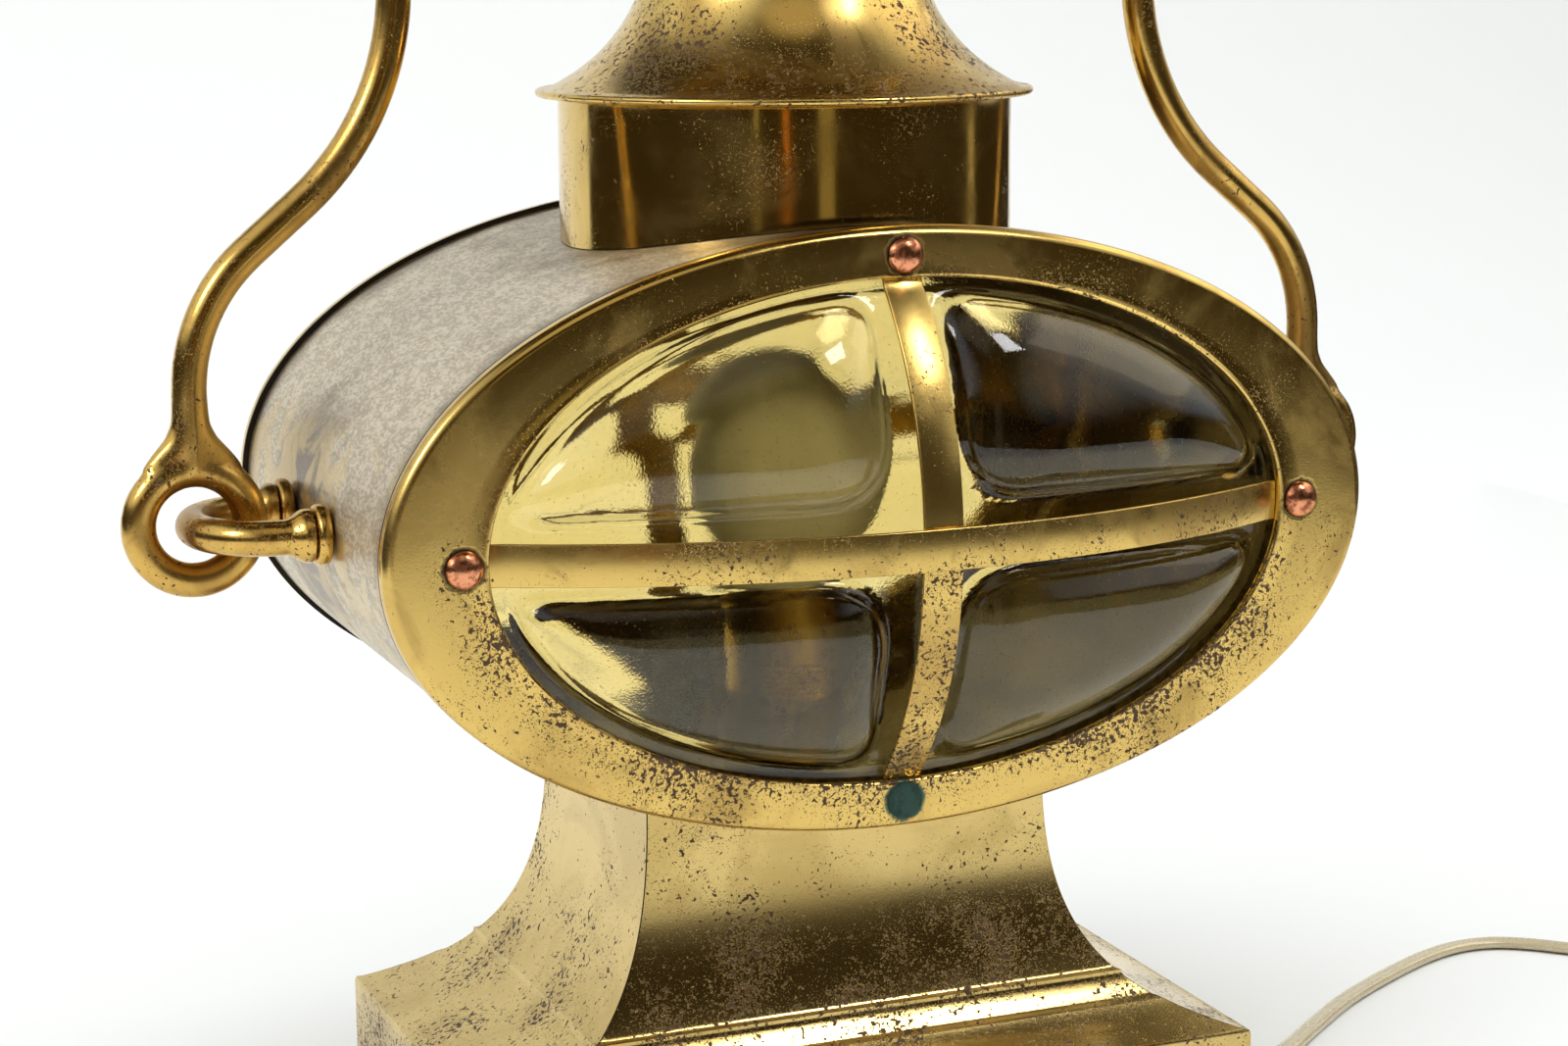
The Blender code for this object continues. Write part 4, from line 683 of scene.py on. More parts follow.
def oval(middle: Vector, across: Vector, up: Vector, steps: int, powers: tuple[float, float] = (1.0, 1.0),
         shift: float = 0.0) -> Ring:
    """Points of an oval, from its across axis towards its up axis.

    Args:
        middle: Its middle.
        across: Half axis across.
        up: Half axis upwards.
        steps: Points round.
        powers: Below 1 the oval grows squarer along that axis.
        shift: Steps that the first point is turned on.

    Returns:
        The ring.
    """
    ring = []
    for step in range(steps):
        angle = 2 * math.pi * (step + shift) / steps
        run, rise = (math.copysign(abs(value) ** power, value)
                     for value, power in zip((math.cos(angle), math.sin(angle)), powers))
        ring.append(middle + across * run + up * rise)
    return ring


def circle(radius: float, height: float, steps: int) -> Ring:
    """Points of a level circle about Z, or its middle if it has no radius."""
    return oval(Z * height, X * radius, Y * radius, steps if radius > 1e-7 else 1)


def turned(outline: Outline, steps: int = 96, closed: bool = True) -> Solid:
    """Turn an outline of (radius, height) about Z.

    Args:
        outline: The section; it starts and ends on the axis unless it is closed.
        steps: Points round.
        closed: The section is a loop that stands clear of the axis.

    Returns:
        The turned body.
    """
    return loft([circle(radius, height, steps) for radius, height in outline], loop=closed, cap=False)


def rounded(outline: Outline, radius: float, steps: int = 4, corners: set[int] | None = None) -> Outline:
    """Round the corners of a closed section.

    Args:
        outline: The section's corners.
        radius: Radius of the rounding.
        steps: Points on each rounding.
        corners: Which corners to round; all if left out.

    Returns:
        The section with rounded corners.
    """
    result: Outline = []
    count = len(outline)
    for index, corner in enumerate(outline):
        if corners is not None and index not in corners:
            result.append(corner)
            continue
        here = Vector(corner)
        before = (Vector(outline[index - 1]) - here)
        after = (Vector(outline[(index + 1) % count]) - here)
        reach = min(radius, before.length * 0.45, after.length * 0.45)
        start = here + before.normalized() * reach
        end = here + after.normalized() * reach
        for step in range(steps + 1):
            share = step / steps
            point = start.lerp(here, share).lerp(here.lerp(end, share), share)
            result.append((point.x, point.y))
    return result


def ellipse(wide: float, high: float, out: float, end: End, steps: int) -> Ring:
    """Points of an upright ellipse round the drum's axis, at a distance from the drum's middle."""
    return oval(AXIS + Y * end.value * out, X * wide, Z * high, steps)


def smooth_line(points: list[Vector], spacing: float) -> list[Vector]:
    """Evenly spaced points on a smooth curve through given points.

    Args:
        points: The points to pass through.
        spacing: Distance between the results.

    Returns:
        The points of the curve, its ends kept.
    """
    ends = [points[0] * 2 - points[1]] + points + [points[-1] * 2 - points[-2]]
    fine: list[Vector] = []
    for index in range(1, len(ends) - 2):
        before, first, second, after = ends[index - 1:index + 3]
        for step in range(24):
            t = step / 24
            fine.append(0.5 * (2 * first + (second - before) * t
                               + (2 * before - 5 * first + 4 * second - after) * t ** 2
                               + (3 * first - before - 3 * second + after) * t ** 3))
    fine.append(points[-1])
    chosen = [fine[0]]
    for point in fine[1:-1]:
        if (point - chosen[-1]).length >= spacing:
            chosen.append(point)
    if (fine[-1] - chosen[-1]).length < 0.4 * spacing:
        chosen.pop()
    return chosen + [fine[-1]]


@dataclass
class Piece:
    """One finished piece, its place in the frame and what it stands for.

    Attributes:
        name: The piece's name.
        body: The body it moves with.
        nodes: The frame's nodes that it replaces.
        slot: The record's material slot; not used.
    """

    name: str
    body: Body
    nodes: tuple[str, ...]
    slot: str

    def show(self, shape: Solid | Mesh, material: Material,
             angle: float = SMOOTH_ANGLE) -> Thing:
        """Make the piece's object and tie it to the frame.

        Args:
            shape: Its mesh, already in place.
            material: Its finish.
            angle: Edges sharper than this stay crisp.

        Returns:
            The piece's object.
        """
        thing = placed(self.name, shape)
        data = thing.data
        data.name = self.name
        data.materials.clear()
        data.materials.append(material)
        data.shade_smooth()
        data.set_sharp_from_angle(angle=angle)
        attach(thing, self.body.value)
        if self.nodes:
            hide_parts(*self.nodes)
        LOG.info("%s: %d faces, %s", self.name, len(data.polygons), material.name)
        return thing


@dataclass
class Assembly:
    """A sub-assembly, made with the shared finishes and node trees.

    Attributes:
        finishes: Every finish.
        trees: Every node tree.
    """

    finishes: "Finishes"
    trees: "Trees"


def placed(name: str, shape: Solid | Mesh) -> Thing:
    """Put an object of a mesh in the scene.

    Args:
        name: Its name.
        shape: Its mesh, or a body that is turned into one and freed.

    Returns:
        The object.
    """
    if isinstance(shape, Solid):
        data = bpy.data.meshes.new(name)
        shape.to_mesh(data)
        shape.free()
        shape = data
    thing = bpy.data.objects.new(name, shape)
    bpy.context.scene.collection.objects.link(thing)
    return thing


def evaluated(thing: Thing) -> Mesh:
    """The mesh that an object's modifiers make."""
    graph = bpy.context.evaluated_depsgraph_get()
    graph.update()
    return bpy.data.meshes.new_from_object(thing.evaluated_get(graph))


def applied(shape: Solid, dress: Callable[[Thing], list[Thing]]) -> Mesh:
    """Run modifiers on a loose body.

    Args:
        shape: The body to change.
        dress: Called with the temporary object, to add the modifiers; it gives the objects that they use.

    Returns:
        The changed mesh, with no modifier left.
    """
    thing = placed("work", shape)
    extra = dress(thing)
    result = evaluated(thing)
    for other in [thing, *extra]:
        bpy.data.objects.remove(other, do_unlink=True)
    return result


def joined(shapes: list[Solid]) -> Solid:
    """Gather separate closed bodies into one mesh.

    Args:
        shapes: The bodies, used up.

    Returns:
        The mesh.
    """
    whole = bmesh.new()
    for shape in shapes:
        data = bpy.data.meshes.new("gather")
        shape.to_mesh(data)
        shape.free()
        whole.from_mesh(data)
        bpy.data.meshes.remove(data)
    return whole


# ------------------------------------------------------------------ geometry node trees


class Growth(Layout):
    """A Geometry Nodes tree with named inputs, and the mesh that it grows on a given start."""

    def __init__(self, name: str, inputs: dict[str, float], extra: dict[str, str] | None = None) -> None:
        """Start the tree.

        Args:
            name: The tree's name.
            inputs: Named sizes and their defaults.
            extra: Further named inputs and their socket types.
        """
        super().__init__(bpy.data.node_groups.new(name, "GeometryNodeTree"))
        face = self.tree.interface
        face.new_socket("Geometry", in_out="INPUT", socket_type="NodeSocketGeometry")
        for label, value in inputs.items():
            face.new_socket(label, in_out="INPUT", socket_type="NodeSocketFloat").default_value = value
        for label, kind in {**(extra or {}), "Material": "NodeSocketMaterial"}.items():
            face.new_socket(label, in_out="INPUT", socket_type=kind)
        face.new_socket("Geometry", in_out="OUTPUT", socket_type="NodeSocketGeometry")
        self.start = self.node("NodeGroupInput")
        self.end = self.node("NodeGroupOutput")

    def given(self, label: str) -> Socket:
        """The output of a named input."""
        return self.start.outputs[label]

    def stood(self, points: Socket, body: Socket, way: Socket) -> Socket:
        """Stand a body on every point, its Z turned to a direction."""
        align = self.node("FunctionNodeAlignRotationToVector", {"axis": "Z"}, Vector=way)
        return self.node("GeometryNodeInstanceOnPoints", Points=points, Instance=body,
                         Rotation=align.outputs[0]).outputs[0]

    def spread(self, body: Socket) -> Socket:
        """Stand a body on every given point, turned to the point's own way."""
        way = self.node("GeometryNodeInputNamedAttribute", {"data_type": "FLOAT_VECTOR"}, Name="way")
        return self.stood(self.given("Geometry"), body, way.outputs[0])

    def profile(self, width: Socket, height: Socket, steps: int | Socket) -> Socket:
        """A rectangle whose corners are rounded by the Rounding input."""
        section = self.node("GeometryNodeCurvePrimitiveQuadrilateral", Width=width, Height=height)
        return self.node("GeometryNodeFilletCurve", {"mode": "POLY"}, Curve=section.outputs[0],
                         Radius=self.given("Rounding"), Count=steps).outputs[0]

    def finish(self, geometry: Socket) -> None:
        """End the tree in Realize Instances and Set Material."""
        real = self.node("GeometryNodeRealizeInstances", i0=geometry)
        dressed = self.node("GeometryNodeSetMaterial", Geometry=real.outputs[0], Material=self.given("Material"))
        self.tree.links.new(dressed.outputs[0], self.end.inputs[0])

    def grow(self, start: Mesh, values: dict[str, Value]) -> Mesh:
        """Run the tree on a mesh and take its result.

        Args:
            start: The points or path that it grows from.
            values: Values of the named inputs.

        Returns:
            The grown mesh.
        """
        thing = placed("growth", start)
        modifier = thing.modifiers.new("growth", "NODES")
        modifier.node_group = self.tree
        keys = {item.name: item.identifier for item in self.tree.interface.items_tree
                if item.item_type == "SOCKET" and item.in_out == "INPUT"}
        for label, value in values.items():
            modifier[keys[label]] = value
        result = evaluated(thing)
        thing.modifiers.remove(modifier)
        bpy.data.objects.remove(thing, do_unlink=True)
        return result


class RivetTree(Growth):
    """Rivets on points: a domed head, a shank, and a bucked tail."""

    def __init__(self) -> None:
        """Build the tree."""
        super().__init__("rivets_on_points", {"Head Radius": 0.005, "Head Height": 0.003, "Shank Radius": 0.002,
                                              "Shank Length": 0.01, "Tail Radius": 0.0034, "Dish": 0.0})
        head = self.dome("Head Radius", self.given("Head Height"))
        low = self.maths("MULTIPLY", self.given("Shank Length"), -1.0)
        tail_height = self.maths("MULTIPLY", self.given("Tail Radius"), -0.4)
        tail = self.lifted(self.dome("Tail Radius", tail_height), low)
        shank = self.node("GeometryNodeMeshCylinder", Vertices=24, Radius=self.given("Shank Radius"),
                          Depth=self.given("Shank Length"))
        shank = self.lifted(shank.outputs[0], self.maths("MULTIPLY", low, 0.5))
        rivet = self.node("GeometryNodeJoinGeometry")
        for part in (head, tail, shank):
            self.tree.links.new(part, rivet.inputs[0])
        self.finish(self.spread(rivet.outputs[0]))

    def lifted(self, geometry: Socket, height: Socket) -> Socket:
        """Move geometry along Z."""
        move = self.node("ShaderNodeCombineXYZ", Z=height)
        return self.node("GeometryNodeTransform", Geometry=geometry, Translation=move.outputs[0]).outputs[0]

    def dome(self, radius: str, height: Socket) -> Socket:
        """A dome on a flat underside, dished in the middle by the Dish input.

        Args:
            radius: Name of the input that is its radius.
            height: Its height; a dome with a negative height hangs down.

        Returns:
            The dome's geometry.
        """
        ball = self.node("GeometryNodeMeshUVSphere", Segments=40, Rings=24, Radius=1.0)
        split = self.node("ShaderNodeSeparateXYZ", i0=self.node("GeometryNodeInputPosition").outputs[0])
        flat = self.maths("MAXIMUM", split.outputs[2], 0.0)
        lifted = self.maths("MULTIPLY", flat, height)
        hollow = self.maths("MULTIPLY", self.maths("POWER", flat, 6.0), self.given("Dish"))
        across, along = (self.maths("MULTIPLY", split.outputs[axis], self.given(radius)) for axis in (0, 1))
        moved = self.node("ShaderNodeCombineXYZ", X=across, Y=along, Z=self.maths("SUBTRACT", lifted, hollow))
        return self.node("GeometryNodeSetPosition", Geometry=ball.outputs[0],
                         Position=moved.outputs[0]).outputs[0]


class BarTree(Growth):
    """A bar with rounded edges along a path; a square bar with full rounding is a rod."""

    def __init__(self) -> None:
        """Build the tree."""
        super().__init__("bar_along_path", {"Width": 0.01, "Thickness": 0.001, "Rounding": 0.0003},
                         {"Across": "NodeSocketVector", "Rounding Steps": "NodeSocketInt"})
        line = self.node("GeometryNodeMeshToCurve", Mesh=self.given("Geometry"))
        aimed = self.node("GeometryNodeSetCurveNormal", {"mode": "FREE"}, Curve=line.outputs[0],
                          Normal=self.given("Across"))
        section = self.profile(self.given("Width"), self.given("Thickness"), self.given("Rounding Steps"))
        bar = self.node("GeometryNodeCurveToMesh", Curve=aimed.outputs[0], Profile_Curve=section, Fill_Caps=True)
        self.finish(bar.outputs[0])


class WasherTree(Growth):
    """Soft-edged washers on points."""

    def __init__(self) -> None:
        """Build the tree."""
        super().__init__("washers_on_points", {"Outer Radius": 0.0082, "Bore Radius": 0.0028,
                                               "Thickness": 0.004, "Rounding": 0.0015})
        total = self.maths("ADD", self.given("Outer Radius"), self.given("Bore Radius"))
        across = self.maths("SUBTRACT", self.given("Outer Radius"), self.given("Bore Radius"))
        line = self.node("GeometryNodeCurvePrimitiveCircle", Resolution=56,
                         Radius=self.maths("MULTIPLY", total, 0.5))
        washer = self.node("GeometryNodeCurveToMesh", Curve=line.outputs[0],
                           Profile_Curve=self.profile(across, self.given("Thickness"), 4))
        self.finish(self.spread(washer.outputs[0]))


class VentTree(Growth):
    """A short tube with a row of round vents."""

    def __init__(self) -> None:
        """Build the tree."""
        super().__init__("vented_tube", {"Vent Radius": 0.004, "Ring Radius": 0.036, "Level": 0.0,
                                         "Reach": 0.01}, {"Vents": "NodeSocketInt"})
        posts = self.node("GeometryNodeMeshCircle", Vertices=self.given("Vents"), Radius=self.given("Ring Radius"))
        level = self.node("ShaderNodeCombineXYZ", Z=self.given("Level"))
        posts = self.node("GeometryNodeTransform", Geometry=posts.outputs[0], Translation=level.outputs[0])
        flat = self.node("ShaderNodeVectorMath", {"operation": "MULTIPLY"}, i1=(1.0, 1.0, 0.0),
                         i0=self.node("GeometryNodeInputPosition").outputs[0])
        drill = self.node("GeometryNodeMeshCylinder", Vertices=28, Radius=self.given("Vent Radius"),
                          Depth=self.given("Reach"))
        drills = self.stood(posts.outputs[0], drill.outputs[0], flat.outputs[0])
        cut = self.node("GeometryNodeMeshBoolean", {"operation": "DIFFERENCE", "solver": "EXACT"},
                        Mesh_1=self.given("Geometry"), Mesh_2=drills)
        self.finish(cut.outputs[0])


class Trees:
    """Every node tree of the lantern, built once."""

    def __init__(self) -> None:
        """Build the trees."""
        self.rivets = RivetTree()
        self.bar = BarTree()
        self.vents = VentTree()
        self.washers = WasherTree()


def path_mesh(points: list[Vector]) -> Mesh:
    """A mesh of edges along points, for a tree to follow."""
    data = bpy.data.meshes.new("path")
    data.from_pydata([tuple(point) for point in points], [(k, k + 1) for k in range(len(points) - 1)], [])
    return data


def faced_points(places: list[tuple[Vector, Vector]]) -> Mesh:
    """A mesh of points for a tree to stand things on.

    Args:
        places: Each point and the way that it faces.

    Returns:
        The mesh.
    """
    data = bpy.data.meshes.new("faced_points")
    data.from_pydata([tuple(place) for place, _ in places], [], [])
    ways = data.attributes.new("way", "FLOAT_VECTOR", "POINT")
    ways.data.foreach_set("vector", [number for _, way in places for number in way])
    return data


# ------------------------------------------------------------------ studio


@dataclass
class SoftBox:
    """A square soft light.

    Attributes:
        name: The light's name.
        place: Where it stands.
        aim: What it points at.
        size: Its width and height.
        power: Its power in watts.
        mirrored: Shiny and clear surfaces show it.
    """

    name: str
    place: Colour
    aim: Colour
    size: tuple[float, float]
    power: float
    mirrored: bool = True

    def build(self) -> None:
        """Put the light in the scene."""
        data = bpy.data.lights.new(self.name, "AREA")
        data.shape = "RECTANGLE"
        data.size, data.size_y = self.size
        data.energy = self.power
        thing = bpy.data.objects.new(self.name, data)
        thing.location = self.place
        way = Vector(self.aim) - Vector(self.place)
        thing.rotation_euler = way.to_track_quat("-Z", "Y").to_euler()
        thing.visible_glossy = thing.visible_transmission = self.mirrored
        bpy.context.scene.collection.objects.link(thing)


@dataclass
class Card:
    """An upright card that only shiny and clear surfaces see.

    Attributes:
        name: The card's name.
        corners: Its four corners.
        colour: The light that it gives.
    """

    name: str
    corners: tuple[Colour, Colour, Colour, Colour]
    colour: Colour

    def build(self) -> None:
        """Put the card in the scene."""
        data = bpy.data.meshes.new(self.name)
        data.from_pydata(list(self.corners), [], [(0, 1, 2, 3)])
        lay = Shading(self.name)
        lay.fixed(Base_Color=(0.0, 0.0, 0.0, 1.0), Specular_IOR_Level=0.0, Emission_Color=(*self.colour, 1.0),
                  Emission_Strength=1.0)
        data.materials.append(lay.material)
        thing = placed(self.name, data)
        thing.visible_camera = thing.visible_diffuse = thing.visible_shadow = False


@dataclass
class Studio:
    """The camera, floor, room and lights.

    Attributes:
        place: Where the camera stands.
        forward: The way it looks.
        roll: Its tilt in degrees.
        lens: Its focal length in millimetres.
        backdrop: Colour that the camera sees past the floor.
        table: Colour of the floor.
        dim: Light from the dark side of the room.
        pale: Light from its pale side.
        glow: Light from high over the camera.
    """

    place: Colour = (-0.3274, -0.7978, 0.3362)
    forward: Colour = (0.37209, 0.90930, -0.18633)
    roll: float = -0.404
    lens: float = 70.41
    backdrop: Colour = (0.905, 0.939, 0.947)
    table: Colour = (0.80, 0.82, 0.82)
    dim: Colour = (0.036, 0.026, 0.012)
    pale: Colour = (0.96, 0.98, 0.98)
    glow: Colour = (0.55, 0.48, 0.36)

    def camera(self) -> None:
        """Stand the camera."""
        ahead = Vector(self.forward).normalized()
        level = ahead.cross(Vector((0.0, 0.0, 1.0))).normalized()
        upright = level.cross(ahead)
        angle = math.radians(self.roll)
        right = math.cos(angle) * level + math.sin(angle) * upright
        up = math.cos(angle) * upright - math.sin(angle) * level
        data = bpy.data.cameras.new("camera")
        data.lens = self.lens
        data.sensor_width = 36.0
        thing = bpy.data.objects.new("camera", data)
        turn = Matrix((right, up, -ahead)).transposed().to_4x4()
        thing.matrix_world = Matrix.Translation(self.place) @ turn
        bpy.context.scene.collection.objects.link(thing)
        bpy.context.scene.camera = thing

    def floor(self) -> None:
        """Lay the floor."""
        data = bpy.data.meshes.new("floor")
        line = [(-6.0, 0.0), (1.2, 0.0)]
        sweep = [math.pi * k / 64 for k in range(1, 33)]
        line += [(1.2 + 1.1 * math.sin(angle), 1.1 - 1.1 * math.cos(angle)) for angle in sweep]
        line.append((2.3, 1.9))
        corners = [(x, y, z) for y, z in line for x in (-6.0, 6.0)]
        data.from_pydata(corners, [], [(2 * k, 2 * k + 1, 2 * k + 3, 2 * k + 2) for k in range(len(line) - 1)])
        data.shade_smooth()
        lay = Shading("floor")
        lay.fixed(Base_Color=(*self.table, 1.0), Roughness=0.55, Specular_IOR_Level=0.25)
        data.materials.append(lay.material)
        placed("floor", data)

    def room(self) -> None:
        """Give the world its pale side, its dark side and its ceiling."""
        world = bpy.data.worlds.new("room")
        world.use_nodes = True
        bpy.context.scene.world = world
        lay = Layout(world.node_tree)
        sky = lay.node("ShaderNodeTexCoord").outputs["Generated"]
        x, y, z = lay.node("ShaderNodeSeparateXYZ", i0=sky).outputs
        around = lay.mix(lay.step(y, -0.05, 0.35), self.dim, self.pale)
        lit = lay.mix(lay.step(z, 0.30, 0.62), around, self.dim)
        glow = lay.node("ShaderNodeVectorMath", {"operation": "DOT_PRODUCT"}, i0=sky,
                        i1=Vector((-0.10, -0.55, 0.83)).normalized())
        lit = lay.mix(lay.step(glow.outputs["Value"], 0.92, 0.98), lit, self.glow)
        right = lay.mix(lay.step(x, 0.45, 0.75), lit, self.pale)
        sides = lay.mix(lay.step(x, -0.30, -0.65), right, self.pale)
        lit = lay.mix(lay.step(z, 0.16, 0.32), lit, sides)
        seen = lay.node("ShaderNodeLightPath").outputs["Is Camera Ray"]
        lay.tree.links.new(lay.mix(seen, lit, self.backdrop), lay.tree.nodes["Background"].inputs["Color"])

    def build(self) -> None:
        """Set up the camera, floor, room, cards and lights."""
        scene = bpy.context.scene
        scene.view_settings.view_transform = "Standard"
        self.camera()
        self.floor()
        self.room()
        cards = (("dark_front", (-2.2, -1.16), (0.0, -1.06), 0.0, 0.62, self.dim),
                 ("dark_corner", (0.0, -1.06), (0.60, -0.98), 0.0, 0.44, self.dim),
                 ("dark_bend", (0.60, -0.98), (0.80, -0.70), 0.0, 0.40, self.dim),
                 ("dark_right", (0.80, -0.70), (0.80, 0.8), 0.0, 0.32, self.dim),
                 ("dark_left", (-1.10, 1.18), (-1.10, -1.10), 0.0, 0.44, self.dim),
                 ("warm_strip", (-0.45, -1.06), (-0.39, -1.05), 0.02, 0.50, (0.50, 0.20, 0.05)),
                 ("pale_strip", (-0.80, -1.06), (-0.75, -1.06), 0.02, 0.50, (0.40, 0.36, 0.23)),
                 ("grey_strip", (-0.10, -1.06), (0.04, -1.05), 0.02, 0.50, (0.26, 0.22, 0.13)),
                 ("far_strip", (0.78, -0.15), (0.78, -0.08), 0.02, 0.34, (0.40, 0.36, 0.27)))
        for name, start, end, low, top, colour in cards:
            Card(name, ((*start, low), (*end, low), (*end, top), (*start, top)), colour).build()
        high_right = ((0.95, -0.55, 0.62), (0.95, 0.50, 0.62), (0.72, 0.50, 1.05), (0.72, -0.55, 1.05))
        Card("high_right", high_right, (1.90, 1.80, 1.55)).build()
        SoftBox("wash", (0.0, -0.4, 3.4), (0.0, -0.2, 0.0), (7.0, 7.0), 146.0, False).build()
        SoftBox("wall_wash", (0.0, -0.2, 2.6), (0.0, 2.4, 0.9), (4.0, 1.0), 34.0, False).build()
        SoftBox("right_front", (0.60, -0.86, 1.26), (0.0, 0.0, 0.25), (0.34, 0.34), 4.8).build()
        SoftBox("left", (-1.25, -0.45, 1.05), (0.0, 0.0, 0.2), (0.40, 0.40), 5.5).build()
        LOG.info("studio ready")


# ------------------------------------------------------------------ cord


@dataclass
class FlexCord(Assembly):
    """The two-core flat cord, its winding, tie, plug and strain relief.

    Attributes:
        route: Points of the stretch on the floor, from the exit to the winding.
        centre: Middle of the winding.
        inner: Radius of its inner column.
        outer: Radius of its outer column.
        approach: Radius of the stretch that climbs beside it.
        layer: Distance between layers.
        lie: Height of a cord that lies on the floor.
        width: Width of the cord.
        thick: Thickness of the cord.
        meet: Angle where the stretch reaches the winding, in degrees.
        leave: Angle where it leaves for the plug, in degrees.
        change: Angle taken by a change of column or layer, in degrees.
    """

    route: tuple[Colour, ...] = (
        (0.1162, -0.0400, 0.0098), (0.1195, -0.0400, 0.0090), (0.1230, -0.0398, 0.0070),
        (0.1270, -0.0394, 0.0044), (0.1315, -0.0386, 0.0025), (0.1365, -0.0372, 0.0019),
        (0.1440, -0.0341, 0.0019), (0.1550, -0.0276, 0.0019), (0.1730, -0.0134, 0.0019),
        (0.1930, 0.0015, 0.0019), (0.2170, 0.0157, 0.0019), (0.2400, 0.0270, 0.0019),
        (0.2560, 0.0315, 0.0019), (0.2690, 0.0305, 0.0019), (0.2795, 0.0245, 0.0019),
        (0.2890, 0.0155, 0.0019), (0.2985, 0.0060, 0.0019), (0.3080, -0.0035, 0.0019),
        (0.3175, -0.0130, 0.0019), (0.3260, -0.0215, 0.0019))
    centre: tuple[float, float] = (0.3568, 0.0093)
    inner: float = 0.0312
    outer: float = 0.0378
    approach: float = 0.0442
    layer: float = 0.0034
    lie: float = 0.0019
    width: float = 0.0060
    thick: float = 0.0032
    meet: float = 225.0
    leave: float = 325.0
    change: float = 70.0

    def ring_point(self, degrees: float, radius: float, height: float) -> Vector:
        """A point of the winding."""
        angle = math.radians(degrees)
        x, y = self.centre
        return Vector((x + radius * math.cos(angle), y + radius * math.sin(angle), height))

    def winding(self) -> list[Vector]:
        """Points of the climb beside the winding, its seven turns, and the run out to the plug.

        Returns:
            The points, in order.
        """
        def eased(share: float) -> float:
            """A share from 0 to 1 that starts and ends gently."""
            return share * share * (3.0 - 2.0 * share)

        levels = [self.lie + self.layer * k for k in range(4)]
        points = []
        for step in range(1, 15):
            share = step / 14
            radius = 0.0434 + (self.approach - 0.0434) * share
            height = levels[0] + (levels[3] - levels[0]) * eased(share)
            points.append(self.ring_point(self.meet + (self.leave - self.meet) * share, radius, height))
        turns = [(self.approach, levels[3]), (self.inner, levels[3]), (self.inner, levels[2]),
                 (self.outer, levels[2]), (self.outer, levels[1]), (self.inner, levels[1]),
                 (self.inner, levels[0]), (self.outer, levels[0])]
        for index in range(1, len(turns)):
            old, new = turns[index - 1], turns[index]
            for step in range(1, 49):
                turn = 360.0 * step / 48
                share = eased(min(1.0, turn / self.change))
                radius = old[0] + (new[0] - old[0]) * share
                height = old[1] + (new[1] - old[1]) * share
                points.append(self.ring_point(self.leave + turn, radius, height))
        radial, along = self.plug_axes()
        middle = Extent.of("plug_body").centre.z
        out = Vector((*self.centre, 0.0)) + radial * 0.0385
        for run, lift in ((0.0055, 0.10), (0.0110, 0.35), (0.0165, 0.70), (0.0215, 0.93), (0.0260, 1.0)):
            place = out + along * run - radial * 0.0007 * (1.0 - lift)
            points.append(Vector((place.x, place.y, levels[0] + (middle - levels[0]) * lift)))
        return points

    def plug_axes(self) -> tuple[Vector, Vector]:
        """The outward and the forward direction at the plug."""
        angle = math.radians(self.leave)
        out = Vector((math.cos(angle), math.sin(angle), 0.0))
        return out, Z.cross(out)

    def section(self, place: Vector, way: Vector, wide: float, thick: float, waist: float) -> Ring:
        """A ring of two round cores side by side.

        Args:
            place: Middle of the ring.
            way: The cord's direction.
            wide: Full width.
            thick: Full thickness.
            waist: Depth of the groove between the cores, as a share.

        Returns:
            The ring.
        """
        across = way.cross(Z).normalized()
        up = across.cross(way).normalized()
        ring = oval(place, across * wide / 2, up * thick / 2, 24, (1.0, 0.62))
        for index, point in enumerate(ring):
            groove = waist * math.exp(-(math.cos(math.pi * index / 12) / 0.28) ** 2)
            point -= up * (point - place).dot(up) * groove
        return ring

    def tube(self, points: list[Vector], sizes: Outline, waist: float = 0.16) -> Solid:
        """A tube along points.

        Args:
            points: Its middle line.
            sizes: Its width and thickness at each point.
            waist: Depth of the groove between the cores, as a share.

        Returns:
            The tube.
        """
        rings = []
        last = len(points) - 1
        for index, (point, (wide, thick)) in enumerate(zip(points, sizes)):
            way = (points[min(index + 1, last)] - points[max(index - 1, 0)]).normalized()
            rings.append(self.section(point, way, wide, thick, waist))
        return loft(rings)

    def plug(self) -> list[Thing]:
        """The moulded plug and its two blades.

        Returns:
            The plug, then its blades.
        """
        radial, along = self.plug_axes()
        middle = Extent.of("plug_body").centre.z
        out = Vector((*self.centre, middle)) + radial * 0.0385
        rows = ((0.0222, 0.0031, 0.0024), (0.0226, 0.0035, 0.0027), (0.0262, 0.0036, 0.0029),
                (0.0268, 0.0033, 0.0026), (0.0290, 0.0034, 0.0027), (0.0296, 0.0039, 0.0032),
                (0.0322, 0.0040, 0.0034), (0.0328, 0.0037, 0.0031), (0.0345, 0.0041, 0.0036),
                (0.0362, 0.0060, 0.0044), (0.0385, 0.0086, 0.0051), (0.0420, 0.0103, 0.0057),
                (0.0470, 0.0108, 0.0059), (0.0520, 0.0104, 0.0057), (0.0560, 0.0107, 0.0059),
                (0.0584, 0.0108, 0.0059), (0.0592, 0.0105, 0.0057), (0.0594, 0.0098, 0.0051))
        rings = [oval(out + along * run, radial * wide, Z * high, 40, (0.55, 0.62), 0.5) for run, wide, high in rows]
        made = [Piece("plug", Body.LANTERN, ("plug_body",), "cord_vinyl").show(loft(rings), self.finishes.plug)]
        for node in ("plug_blade_left", "plug_blade_right"):
            start = Extent.of(node).centre - along * 0.00795
            flat = rounded([(0.0, -0.00315), (0.0159, -0.00315), (0.0159, 0.00315), (0.0, 0.00315)], 0.0026, 5,
                           {1, 2})
